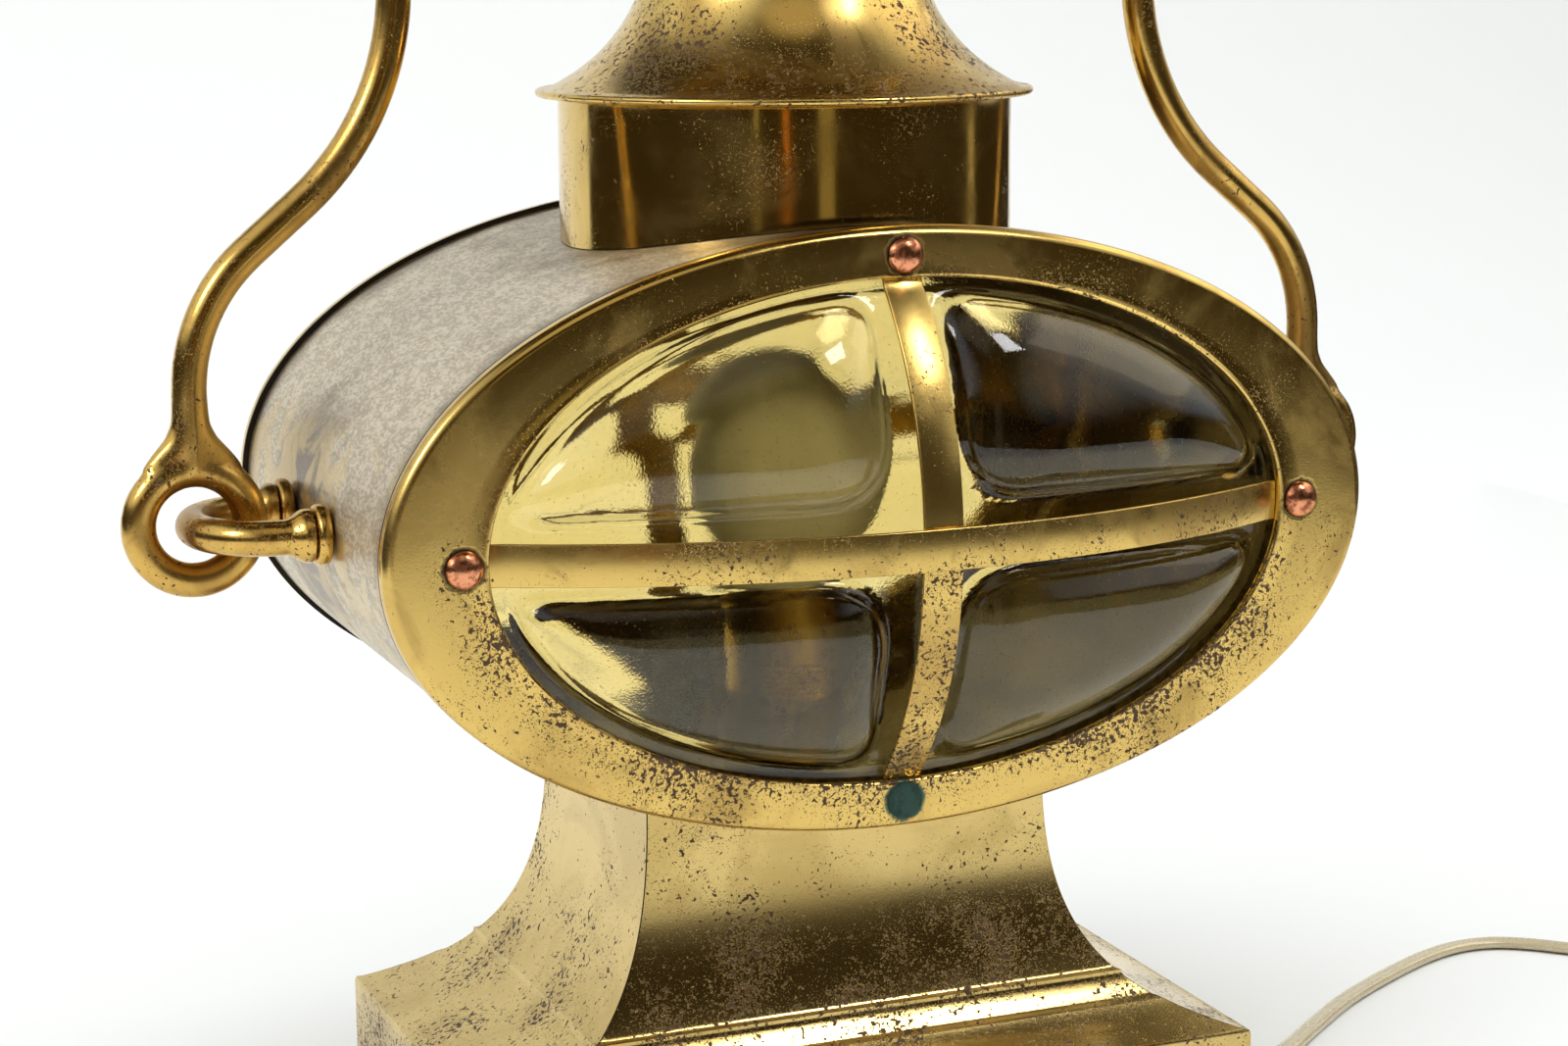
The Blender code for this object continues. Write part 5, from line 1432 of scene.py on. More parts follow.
            blade = loft([[start + along * run + Z * rise + radial * side for run, rise in flat]
                          for side in (-0.00075, 0.00075)])
            hole = loft([oval(start + along * 0.0117 + radial * side, along * 0.0015, Z * 0.0015, 24)
                         for side in (-0.002, 0.002)])
            cut = cut_away(blade, [hole])
            name = node.replace("plug_", "")
            made.append(Piece(name, Body.LANTERN, (node,), "brass").show(cut, self.finishes.plain))
        return made

    def tie(self) -> Thing:
        """The twisted tie round the turns and the stretch beside them.

        Returns:
            The tie.
        """
        box = [(0.0274, 0.0008), (0.0480, 0.0008), (0.0480, 0.0072), (0.0425, 0.0148), (0.0274, 0.0148)]
        path = rounded(box, 0.0030, 6)
        angle = math.radians(250.0)
        out = Vector((math.cos(angle), math.sin(angle), 0.0))
        middle = Vector((*self.centre, 0.0))
        rings = []
        for index, (reach, height) in enumerate(path):
            way = (Vector(path[(index + 1) % len(path)]) - Vector(path[index - 1])).normalized()
            normal = out * way.y - Z * way.x
            place = middle + out * reach + Z * height
            rings.append(oval(place, Z.cross(out) * 0.0034, normal * 0.00045, 16, (0.4, 1.0)))
        piece = Piece("winding_tie", Body.LANTERN, ("coil_tie",), "phenolic")
        return piece.show(loft(rings, loop=True), self.finishes.phenolic)

    def relief(self) -> Thing:
        """The tapered strain relief where the cord leaves the base.

        Returns:
            The relief.
        """
        box = Extent.of("cord_bushing")
        line = smooth_line([Vector((box.low.x, -0.0400, 0.0100)), Vector((0.1116, -0.0400, 0.0100)),
                            *[Vector(point) for point in self.route[:5]]], 0.0007)
        line = [point for point in line if point.x < 0.1286]
        points, sizes = [], []
        for point in line:
            if point.x < 0.1124:
                size = (0.0086, 0.0086)
            elif point.x < 0.1152:
                size = (0.0120, 0.0120)
            else:
                share = (point.x - 0.1152) / 0.0134
                size = (0.0092 - 0.0017 * share, 0.0088 - 0.0044 * share)
                if int((point.x - 0.1152) / 0.0014) % 2:
                    size = (size[0] - 0.0007, size[1] - 0.0006)
            points.append(point)
            sizes.append(size)
        shape = self.tube(points, sizes, 0.0)
        piece = Piece("strain_relief", Body.LANTERN, ("cord_bushing",), "phenolic")
        return piece.show(shape, self.finishes.phenolic)

    def build(self) -> None:
        """Build the cord and everything on it."""
        line = smooth_line([Vector(point) for point in self.route], 0.0042) + self.winding()
        shape = self.tube(line, [(self.width, self.thick)] * len(line))
        cord = Piece("flat_cord", Body.LANTERN, ("cord_lead", "cord_coil"), "cord_vinyl")
        cord = cord.show(shape, self.finishes.vinyl)
        inside = smooth_line([Vector(p) for p in ((0.0010, -0.0004, 0.0050), (0.0200, -0.0080, 0.0045),
                                                  (0.0500, -0.0220, 0.0042), (0.0800, -0.0345, 0.0052),
                                                  (0.0980, -0.0392, 0.0085), (0.1090, -0.0400, 0.0100),
                                                  (0.1150, -0.0400, 0.0100))], 0.0040)
        core = self.tube(inside, [(0.0032, 0.0032)] * len(inside))
        Piece("inner_cord_run", Body.LANTERN, ("inner_cord",), "cord_vinyl").show(core, self.finishes.vinyl)
        extras = self.plug() + [self.tie(), self.relief()]


def cut_away(body: Solid, tools: list[Solid], union: bool = False) -> Mesh:
    """Cut shapes out of a body, or join them to it.

    Args:
        body: The body that is changed.
        tools: The shapes taken away or joined.
        union: Join instead of cutting.

    Returns:
        The changed mesh.
    """
    def dress(thing: Thing) -> list[Thing]:
        """Add one Boolean for each tool.

        Args:
            thing: The body that is changed.

        Returns:
            The tools, to be removed afterwards.
        """
        others = []
        for index, tool in enumerate(tools):
            other = placed(f"tool_{index}", tool)
            modifier = thing.modifiers.new("cut", "BOOLEAN")
            modifier.operation = "UNION" if union else "DIFFERENCE"
            modifier.solver = "EXACT"
            modifier.object = other
            others.append(other)
        return others

    return applied(body, dress)


def rod(start: Vector, end: Vector, radius: float, steps: int = 32) -> Solid:
    """A round rod between two points, as a drill.

    Args:
        start: Middle of its first end.
        end: Middle of its other end.
        radius: Its radius.
        steps: Points round.

    Returns:
        The rod.
    """
    way = (end - start).normalized()
    across = way.orthogonal().normalized()
    return loft([oval(place, across * radius, way.cross(across) * radius, steps) for place in (start, end)])


# ------------------------------------------------------------------ drum and ends


@dataclass
class DrumBody(Assembly):
    """The rolled oval drum and the upright collar on it.

    Attributes:
        half_width: Half the drum's width.
        half_height: Half its height.
        half_length: Half its length.
        sheet: Thickness of its sheet.
        collar_radius: Radius of the collar.
        collar_top: Height of the collar's edge.
        stud: Radius of the stud holes.
        stud_spread: Distance of a stud hole from the middle.
    """

    half_width: float = 0.1386
    half_height: float = 0.0786
    half_length: float = 0.0752
    sheet: float = 0.0012
    collar_radius: float = 0.0631
    collar_top: float = 0.2966
    stud: float = 0.0028
    stud_spread: float = 0.0210

    def height_at(self, x: float, extra: float = 0.0) -> float:
        """Height of the drum's outside above its axis, at a distance from the middle."""
        wide, high = self.half_width + extra, self.half_height + extra
        return high * math.sqrt(max(0.0, 1.0 - (x / wide) ** 2))

    def build(self) -> None:
        """Build the drum and its collar."""
        inner_wide, inner_high = self.half_width - self.sheet, self.half_height - self.sheet
        rings = []
        soft = 0.0003
        runs = [-self.half_length + soft] + [self.half_length * k / 6 for k in range(-5, 6)] + [
            self.half_length - soft]
        for out in runs:
            rings.append(ellipse(self.half_width, self.half_height, -out, End.FRONT, 192))
        rings.append(ellipse(self.half_width - soft, self.half_height - soft, -self.half_length, End.FRONT, 192))
        for out in [self.half_length] + runs[::-1][1:-1] + [-self.half_length]:
            rings.append(ellipse(inner_wide, inner_high, -out, End.FRONT, 192))
        rings.append(ellipse(self.half_width - soft, self.half_height - soft, self.half_length, End.FRONT, 192))
        drum = loft(rings, loop=True)
        tools = [rod(AXIS, AXIS + Z * 0.1, self.collar_radius - 0.0027, 96),
                 rod(AXIS - Z * 0.1, AXIS - Z * 0.06, 0.0052)]
        for hand in Hand:
            for y in (-self.stud_spread, self.stud_spread):
                side = Vector((hand.value * 0.13, y, AXIS.z))
                tools.append(rod(side, side + X * hand.value * 0.02, self.stud))
        shell = cut_away(drum, tools)
        Piece("drum", Body.LANTERN, ("drum_shell",), "worn_brass").show(shell, self.finishes.drum)
        self.collar()

    def collar(self) -> None:
        """Build the collar, cut to sit on the drum."""
        steps = 192
        inner = self.collar_radius - self.sheet
        soft = 0.0004
        rings = [circle(self.collar_radius, 0.0, steps), circle(self.collar_radius, self.collar_top - soft, steps),
                 circle(self.collar_radius - soft * 0.3, self.collar_top - soft * 0.3, steps),
                 circle(self.collar_radius - soft, self.collar_top, steps),
                 circle(inner + soft, self.collar_top, steps), circle(inner, self.collar_top - soft, steps),
                 circle(inner, 0.0, steps)]
        for ring in (rings[0], rings[-1]):
            for point in ring:
                point.z = AXIS.z + self.height_at(point.x, 0.0003)
        rows = []
        for first, second in zip(rings, rings[1:]):
            rows.append(first)
            if (first[0] - second[0]).length > 0.01:
                rows += [[a.lerp(b, k / 6) for a, b in zip(first, second)] for k in range(1, 6)]
        rows.append(rings[-1])
        Piece("collar", Body.LANTERN, ("chimney_collar",), "brass").show(loft(rows, loop=True), self.finishes.collar)


@dataclass
class LensEnd(Assembly):
    """One end of the drum: bezel, glass, guard bars, gasket and seat ring.

    Attributes:
        end: Which end it is.
        half_width: Half the bezel's width.
        half_height: Half its height.
        face: Distance of its face from the drum's middle.
        lip: Distance of the back of its lip.
        thick: Thickness of its sheet.
        shoulder: Radius of its shoulder.
        open_width: Half the opening's width.
        open_height: Half its height.
        rivet_side: Distance of the side rivets from the middle.
        rivet_top: Distance of the top and bottom rivets.
        glass_face: Distance of the glass border from the drum's middle.
        glass_thick: Thickness of the glass.
        dome: Rise of the whole lens.
        lobe: Rise of a lobe.
        lobe_edge: Width of a lobe's rounded shoulder.
        corner: Radius of a lobe's corners.
        web: Half the width of the grooves between the lobes.
        border: Flat border of the glass.
        guard_width: Width of a guard bar.
        guard_thick: Its thickness.
        guard_rise: How far the upright bar bows out.
    """

    end: End
    half_width: float = 0.1400
    half_height: float = 0.0800
    face: float = 0.0811
    lip: float = 0.0755
    thick: float = 0.0014
    shoulder: float = 0.0028
    open_width: float = 0.1130
    open_height: float = 0.0668
    rivet_side: float = 0.1196
    rivet_top: float = 0.0725
    glass_face: float = 0.0778
    glass_thick: float = 0.0040
    dome: float = 0.0150
    lobe: float = 0.0095
    lobe_edge: float = 0.0170
    corner: float = 0.0100
    web: float = 0.0086
    border: float = 0.0035
    guard_width: float = 0.0110
    guard_thick: float = 0.0013
    guard_rise: float = 0.0262

    def show(self, word: str, kind: str, slot: str, shape: Solid | Mesh, material: Material) -> None:
        """Make one of this end's pieces.

        Args:
            word: The node's name without its end.
            kind: What the piece's name ends with.
            slot: The record's material slot.
            shape: Its mesh.
            material: Its finish.
        """
        node = f"{self.end.label}_{word}"
        Piece(f"{node}_{kind}", Body.LANTERN, (node,), slot).show(shape, material)

    def bezel(self) -> None:
        """The pressed ring over the glass, with a fine raised line round its opening."""
        wide, high, face = self.half_width, self.half_height, self.face
        rows: list[tuple[float, float]] = [(0.0, self.lip)]
        for step in range(9):
            angle = math.radians(90.0 * step / 8)
            rows.append((self.shoulder * (1 - math.cos(angle)), face - self.shoulder * (1 - math.sin(angle))))
        margin_wide, margin_high = wide - self.open_width, high - self.open_height
        rings = [ellipse(wide - inset, high - inset, out, self.end, 240) for inset, out in rows]
        for share, rise in ((0.40, 0.0), (0.70, 0.0), (0.905, 0.0), (0.925, 0.00018), (0.955, 0.0004),
                            (0.985, 0.0002), (1.0, -0.0003)):
            insets = [self.shoulder + (margin - self.shoulder) * share for margin in (margin_wide, margin_high)]
            rings.append(ellipse(wide - insets[0], high - insets[1], face + rise, self.end, 240))
        back = face - self.thick
        rings.append(ellipse(self.open_width, self.open_height, back, self.end, 240))
        rings.append(ellipse(wide - self.shoulder, high - self.shoulder, back, self.end, 240))
        rings.append(ellipse(wide - self.thick, high - self.thick, face - self.shoulder, self.end, 240))
        rings.append(ellipse(wide - self.thick, high - self.thick, self.lip, self.end, 240))
        ring = loft(rings, loop=True)
        way = self.end.value
        drills = []
        for x, z in self.rivet_places():
            drills.append(rod(Vector((x, way * 0.070, z)), Vector((x, way * 0.095, z)), 0.0023, 24))
        shape = cut_away(ring, drills)
        self.show("bezel", "ring", "brass", shape, self.finishes.bezel)

    def rivet_places(self) -> list[tuple[float, float]]:
        """The four rivets as x and height: left, right, top and bottom."""
        return [(-self.rivet_side, AXIS.z), (self.rivet_side, AXIS.z), (0.0, AXIS.z + self.rivet_top),
                (0.0, AXIS.z - self.rivet_top)]

    def least(self, first: float, second: float, soft: float) -> float:
        """The smaller of two values with a round corner between them."""
        mix = max(soft - abs(first - second), 0.0) / soft
        return min(first, second) - mix * mix * soft / 4

    def lobe_at(self, x: float, z: float) -> float:
        """How far a lobe stands above the grooves, from 0 to 1.

        Args:
            x: Distance across from the middle.
            z: Height from the middle.

        Returns:
            The share of its full height.
        """
        wide, high = self.open_width - self.border, self.open_height - self.border
        reach = math.hypot(x / wide, z / high)
        if reach < 1e-6:
            return 0.0
        slope = math.hypot(x / wide ** 2, z / high ** 2) / reach
        inside = self.least(abs(x) - self.web, abs(z) - self.web, 2 * self.corner)
        inside = self.least(inside, (1.0 - reach) / slope, self.corner)
        share = min(max(inside / self.lobe_edge, 0.0), 1.0)
        foot = min(1.0, share / 0.20)
        wall = math.sqrt(1.0 - (1.0 - share) ** 2)
        return (0.55 * wall + 0.45 * math.sin(math.pi / 2 * share)) * (0.35 + 0.65 * foot * foot * (3 - 2 * foot))

    def skin(self, base: float, lobe: float, rows: int = 84, steps: int = 256) -> list[Ring]:
        """Rings of one face of the glass, from its rim to its middle.

        Args:
            base: Distance of its border from the drum's middle.
            lobe: Rise of its lobes.
            rows: Rings from the field's edge to the middle.
            steps: Points round.

        Returns:
            The rings, the last a single point.
        """
        wide, high = self.open_width - self.border, self.open_height - self.border
        rim_wide, rim_high = self.rivet_side - 0.0026, self.rivet_top - 0.0026
        field_share = wide / rim_wide
        shares = [1.0, (1.0 + field_share) / 2] + [field_share * (1.0 - k / rows) for k in range(rows)]
        rings = []
        for share in shares:
            ring = []
            for step in range(steps):
                angle = 2 * math.pi * step / steps
                angle -= 0.62 * math.sin(4 * angle) / 4
                x, z = rim_wide * share * math.cos(angle), rim_high * share * math.sin(angle)
                swell = self.dome * max(0.0, 1.0 - (x / wide) ** 2 - (z / high) ** 2)
                out = base + swell + lobe * self.lobe_at(x, z)
                ring.append(Vector((x, self.end.value * out, AXIS.z + z)))
            rings.append(ring)
        rings.append([Vector((0.0, self.end.value * (base + self.dome), AXIS.z))])
        return rings

    def glass(self) -> None:
        """The pressed glass with its four lobes."""
        outer = self.skin(self.glass_face, self.lobe)
        inner = self.skin(self.glass_face - self.glass_thick, 0.8 * self.lobe)
        piece = Piece(f"{self.end.label}_glass", Body.LANTERN, (f"{self.end.label}_lens",), "lens_glass")
        piece.show(loft(outer[::-1] + inner), self.finishes.glass, math.radians(80.0))

    def bar_path(self, rivet: float, opening: float, rise: float, upright: bool) -> list[Vector]:
        """The middle line of a guard bar: a flat tab, a bend, the bow, a bend and a tab.

        Args:
            rivet: Distance of its rivets from the middle.
            opening: Half the opening that it spans.
            rise: How far it bows out.
            upright: It stands upright rather than across.

        Returns:
            The points of the line.
        """
        level = self.face - self.thick - 0.0003 - self.guard_thick / 2
        spring = opening - self.guard_thick
        radius = (spring ** 2 + rise ** 2) / (2 * rise)
        swing = math.asin(spring / radius)
        line = [(-rivet - 0.0042, level), (-spring - 0.0022, level), (-spring - 0.0010, level + 0.00012)]
        steps = 72
        for index in range(1, steps):
            angle = swing * (2 * index / steps - 1)
            line.append((radius * math.sin(angle), level + rise - radius * (1 - math.cos(angle))))
        line += [(-along, out) for along, out in line[2::-1]]
        way = self.end.value
        if upright:
            return [Vector((0.0, way * out, AXIS.z + along)) for along, out in line]
        return [Vector((along, way * out, AXIS.z)) for along, out in line]

    def guards(self) -> None:
        """The upright guard bar and the cross bar that bows over it."""
        cross_rise = self.guard_rise + self.guard_thick + 0.0006
        bars = (("guard_upright", self.rivet_top, self.open_height, self.guard_rise, True, (1.0, 0.0, 0.0)),
                ("guard_cross", self.rivet_side, self.open_width, cross_rise, False, (0.0, 0.0, 1.0)))
        for node, rivet, opening, rise, upright, across in bars:
            path = path_mesh(self.bar_path(rivet, opening, rise, upright))
            shape = self.trees.bar.grow(path, {"Width": self.guard_width, "Thickness": self.guard_thick,
                                          "Rounding": 0.0004, "Rounding Steps": 3, "Across": across,
                                          "Material": self.finishes.guard})
            self.show(node, "bar", "brass", shape, self.finishes.guard)

    def rings(self) -> None:
        """The soft gasket and the seat ring behind the glass."""
        for node, low, high, inner, finish, slot in (
                ("gasket", 0.0725, 0.0735, 0.0030, self.finishes.putty, "putty"),
                ("seat_ring", 0.0708, 0.0722, 0.0050, self.finishes.plain, "brass")):
            box = Extent.of(f"{self.end.label}_{node}")
            wide, high_half = box.half.x, box.half.z
            soft = 0.0002
            rows = [(0.0, low + soft), (0.0, high - soft), (soft, high), (inner - soft, high), (inner, high - soft),
                    (inner, low + soft), (inner - soft, low), (soft, low)]
            shape = loft([ellipse(wide - inset, high_half - inset, out, self.end, 160) for inset, out in rows],
                         loop=True)
            self.show(node, "band", slot, shape, finish)

    def build(self) -> None:
        """Build every piece of the end but its rivets."""
        self.bezel()
        self.glass()
        self.guards()
        self.rings()


@dataclass
class Rivets(Assembly):
    """The eight rivets of the two ends.

    Attributes:
        head: Radius of a head.
        rise: Height of a head.
        shank: Radius of a shank.
        tail: Radius of a tail.
        seat: Distance of the heads' undersides from the drum's middle.
        depth: Distance of the tails' ends.
    """

    head: float = 0.0050
    rise: float = 0.0030
    shank: float = 0.0020
    tail: float = 0.0034
    seat: float = 0.0813
    depth: float = 0.0704

    def build(self, ends: list[LensEnd]) -> None:
        """Build the copper rivets together and the green one by itself.

        Args:
            ends: Both ends of the drum.
        """
        sound, green = [], []
        names: list[str] = []
        for lens_end in ends:
            way = Vector((0.0, lens_end.end.value, 0.0))
            for word, (x, z) in zip(("left", "right", "top", "bottom"), lens_end.rivet_places()):
                place = (Vector((x, lens_end.end.value * self.seat, z)), way)
                if lens_end.end is End.FRONT and word == "bottom":
                    green.append(place)
                else:
                    sound.append(place)
                    names.append(f"{lens_end.end.label}_rivet_{word}")
        sizes = {"Head Radius": self.head, "Head Height": self.rise, "Shank Radius": self.shank,
                 "Shank Length": self.seat - self.depth, "Tail Radius": self.tail}
        shape = self.trees.rivets.grow(faced_points(sound), {**sizes, "Material": self.finishes.copper})
        Piece("copper_rivets", Body.LANTERN, tuple(names), "copper").show(shape, self.finishes.copper)
        flush = {**sizes, "Head Height": 0.0009, "Dish": 0.0003, "Material": self.finishes.verdigris}
        shape = self.trees.rivets.grow(faced_points(green), flush)
        piece = Piece("verdigris_rivet", Body.LANTERN, ("front_rivet_bottom",), "verdigris")
        piece.show(shape, self.finishes.verdigris)


# ------------------------------------------------------------------ hood


@dataclass
class Hood(Assembly):
    """The lift-off hood: flared skirt, spigot, vented ring, cap and finial.

    Attributes:
        rim: Radius at the rim, without its bead.
        neck: Radius at the neck.
        low: Height of the rim's curve.
        height: Height of the curve.
        sheet: Thickness of the sheet.
        bead: Radius of the rim's bead.
        vents: Number of vents.
        vent: Radius of a vent.
        cap: Radius of the cap.
        cap_skirt: Height of its turned-down edge.
        cap_dome: Rise of its dome.
        ball: Radius of the finial's ball.
        stem: Radius of its stem.
    """

    rim: float = 0.0671
    neck: float = 0.0375
    low: float = 0.2955
    height: float = 0.0420
    sheet: float = 0.0010
    bead: float = 0.0011
    vents: int = 10
    vent: float = 0.0042
    cap: float = 0.0460
    cap_skirt: float = 0.0050
    cap_dome: float = 0.0210
    ball: float = 0.0070
    stem: float = 0.0030

    def curve(self, steps: int) -> Outline:
        """The skirt's outside from the neck down to the rim.

        Args:
            steps: How many steps it has.

        Returns:
            Distances from the axis and heights.
        """
        span = self.rim - self.neck
        controls = [Vector((self.rim, self.low)), Vector((self.neck + 0.42 * span, self.low + 0.19 * self.height)),
                    Vector((self.neck + 0.02 * span, self.low + 0.51 * self.height)),
                    Vector((self.neck, self.low + self.height))]
        top = Extent.of("hood_skirt").high.z
        raised = top - self.low - self.height
        outline = []
        for step in range(steps + 1):
            t = 1.0 - step / steps
            s = 1.0 - t
            point = (controls[0] * s ** 3 + controls[1] * 3 * s * s * t + controls[2] * 3 * s * t * t
                     + controls[3] * t ** 3)
            outline.append((point.x, point.y + raised))
        return outline

    def inset(self, outline: Outline, thick: float) -> Outline:
        """The outline of the inside, a sheet's thickness in.

        Args:
            outline: The outside.
            thick: The sheet's thickness.

        Returns:
            The inside, in the same order.
        """
        inside = []
        last = len(outline) - 1
        for index, point in enumerate(outline):
            ahead, behind = outline[min(index + 1, last)], outline[max(index - 1, 0)]
            step = Vector((ahead[0] - behind[0], ahead[1] - behind[1])).normalized()
            inside.append((point[0] + step.y * thick, point[1] - step.x * thick))
        return inside

    def skirt(self) -> None:
        """The flared skirt with its beaded rim."""
        outside = self.curve(44)
        inside = self.inset(outside, self.sheet)
        centre = (self.rim + self.bead, outside[-1][1] - self.bead / 2)
        bead = []
        for step in range(13):
            angle = math.radians(120.0 - 260.0 * step / 12)
            bead.append((centre[0] + self.bead * math.cos(angle), centre[1] + self.bead * math.sin(angle)))
        section = outside[:-1] + bead + inside[-3::-1]
        Piece("skirt", Body.HOOD, ("hood_skirt",), "brass").show(turned(section, 160), self.finishes.hood)

    def ring(self) -> None:
        """The tube with vents that stands in the neck."""
        box = Extent.of("vent_ring")
        outer, low, top = box.high.x, box.low.z, box.high.z
        rows = [low + 0.0002] + [low + (top - low) * k / 10 for k in range(1, 10)] + [top - 0.0002]
        section = [(outer, z) for z in rows] + [(outer - 0.0002, top), (outer - self.sheet + 0.0002, top)]
        section += [(outer - self.sheet, z) for z in rows[::-1]]
        section += [(outer - self.sheet + 0.0002, low), (outer - 0.0002, low)]
        tube = turned(section, 160)
        data = bpy.data.meshes.new("tube")
        tube.to_mesh(data)
        tube.free()
        neck_top = Extent.of("hood_skirt").high.z
        level = (neck_top + top - self.cap_skirt) / 2
        sizes = {"Vent Radius": self.vent, "Ring Radius": outer, "Level": level, "Reach": 0.012,
                 "Vents": self.vents, "Material": self.finishes.hood}
        shape = self.trees.vents.grow(data, sizes)
        Piece("vented_neck", Body.HOOD, ("vent_ring",), "brass").show(shape, self.finishes.hood)

    def cap_outline(self, steps: int) -> Outline:
        """The cap's outside from the stem hole down to its lower edge.

        Args:
            steps: How many steps its dome has.

        Returns:
            Distances from the axis and heights.
        """
        box = Extent.of("chimney_cap")
        seat = box.high.z - self.cap_dome
        hole = self.stem + 0.0003
        outline = []
        for step in range(steps + 1):
            share = step / steps
            reach = hole + (self.cap - hole) * math.sin(share * math.pi / 2)
            outline.append((reach, seat + self.cap_dome * math.cos(share * math.pi / 2) ** 1.3))
        corner = outline.pop()
        before = outline[-1]
        outline += [(corner[0] - 0.0004, (before[1] + corner[1]) / 2 + 0.0002), (corner[0], corner[1] - 0.0008),
                    (corner[0], box.low.z + 0.0004), (corner[0] - 0.0003, box.low.z)]
        return outline

    def top(self) -> None:
        """The domed cap and its finial."""
        outside = self.cap_outline(36)
        inside = self.inset(outside[:-1], self.sheet)
        inside[-1] = (self.cap - self.sheet, outside[-1][1])
        shape = turned(outside + inside[::-1], 160)
        Piece("cap", Body.HOOD, ("chimney_cap",), "brass").show(shape, self.finishes.hood)
        box = Extent.of("cap_finial")
        low, high = box.low.z, box.high.z
        ball = high - self.ball
        stem = self.stem
        section: Outline = [(0.0, low), (stem * 1.6, low), (stem * 1.7, low + 0.0004), (stem * 1.7, low + 0.0014),
                            (stem * 0.98, low + 0.0015), (stem * 0.98, low + 0.0031), (stem * 1.5, low + 0.0032),
                            (stem * 1.6, low + 0.0036)]
        for step in range(25):
            angle = math.radians(-55.0 + 145.0 * step / 24)
            section.append((self.ball * math.cos(angle), ball + self.ball * math.sin(angle)))
        section[-1] = (0.0, high)
        shape = loft([circle(radius, z, 48) for radius, z in section])
        Piece("finial", Body.HOOD, ("cap_finial",), "brass").show(shape, self.finishes.hood)

    def spigot(self) -> None:
        """The ring under the skirt that fits in the collar."""
        box = Extent.of("hood_spigot")
        outer, low, top = box.high.x, box.low.z, box.high.z
        inner = outer - self.sheet
        section = rounded([(outer, low), (outer, top), (inner, top), (inner, low)], 0.0004, 3)
        Piece("spigot", Body.HOOD, ("hood_spigot",), "brass").show(turned(section, 160), self.finishes.plain)

    def build(self) -> None:
        """Build the hood."""
        self.skirt()
        self.ring()
        self.top()
        self.spigot()


# ------------------------------------------------------------------ bail and staples


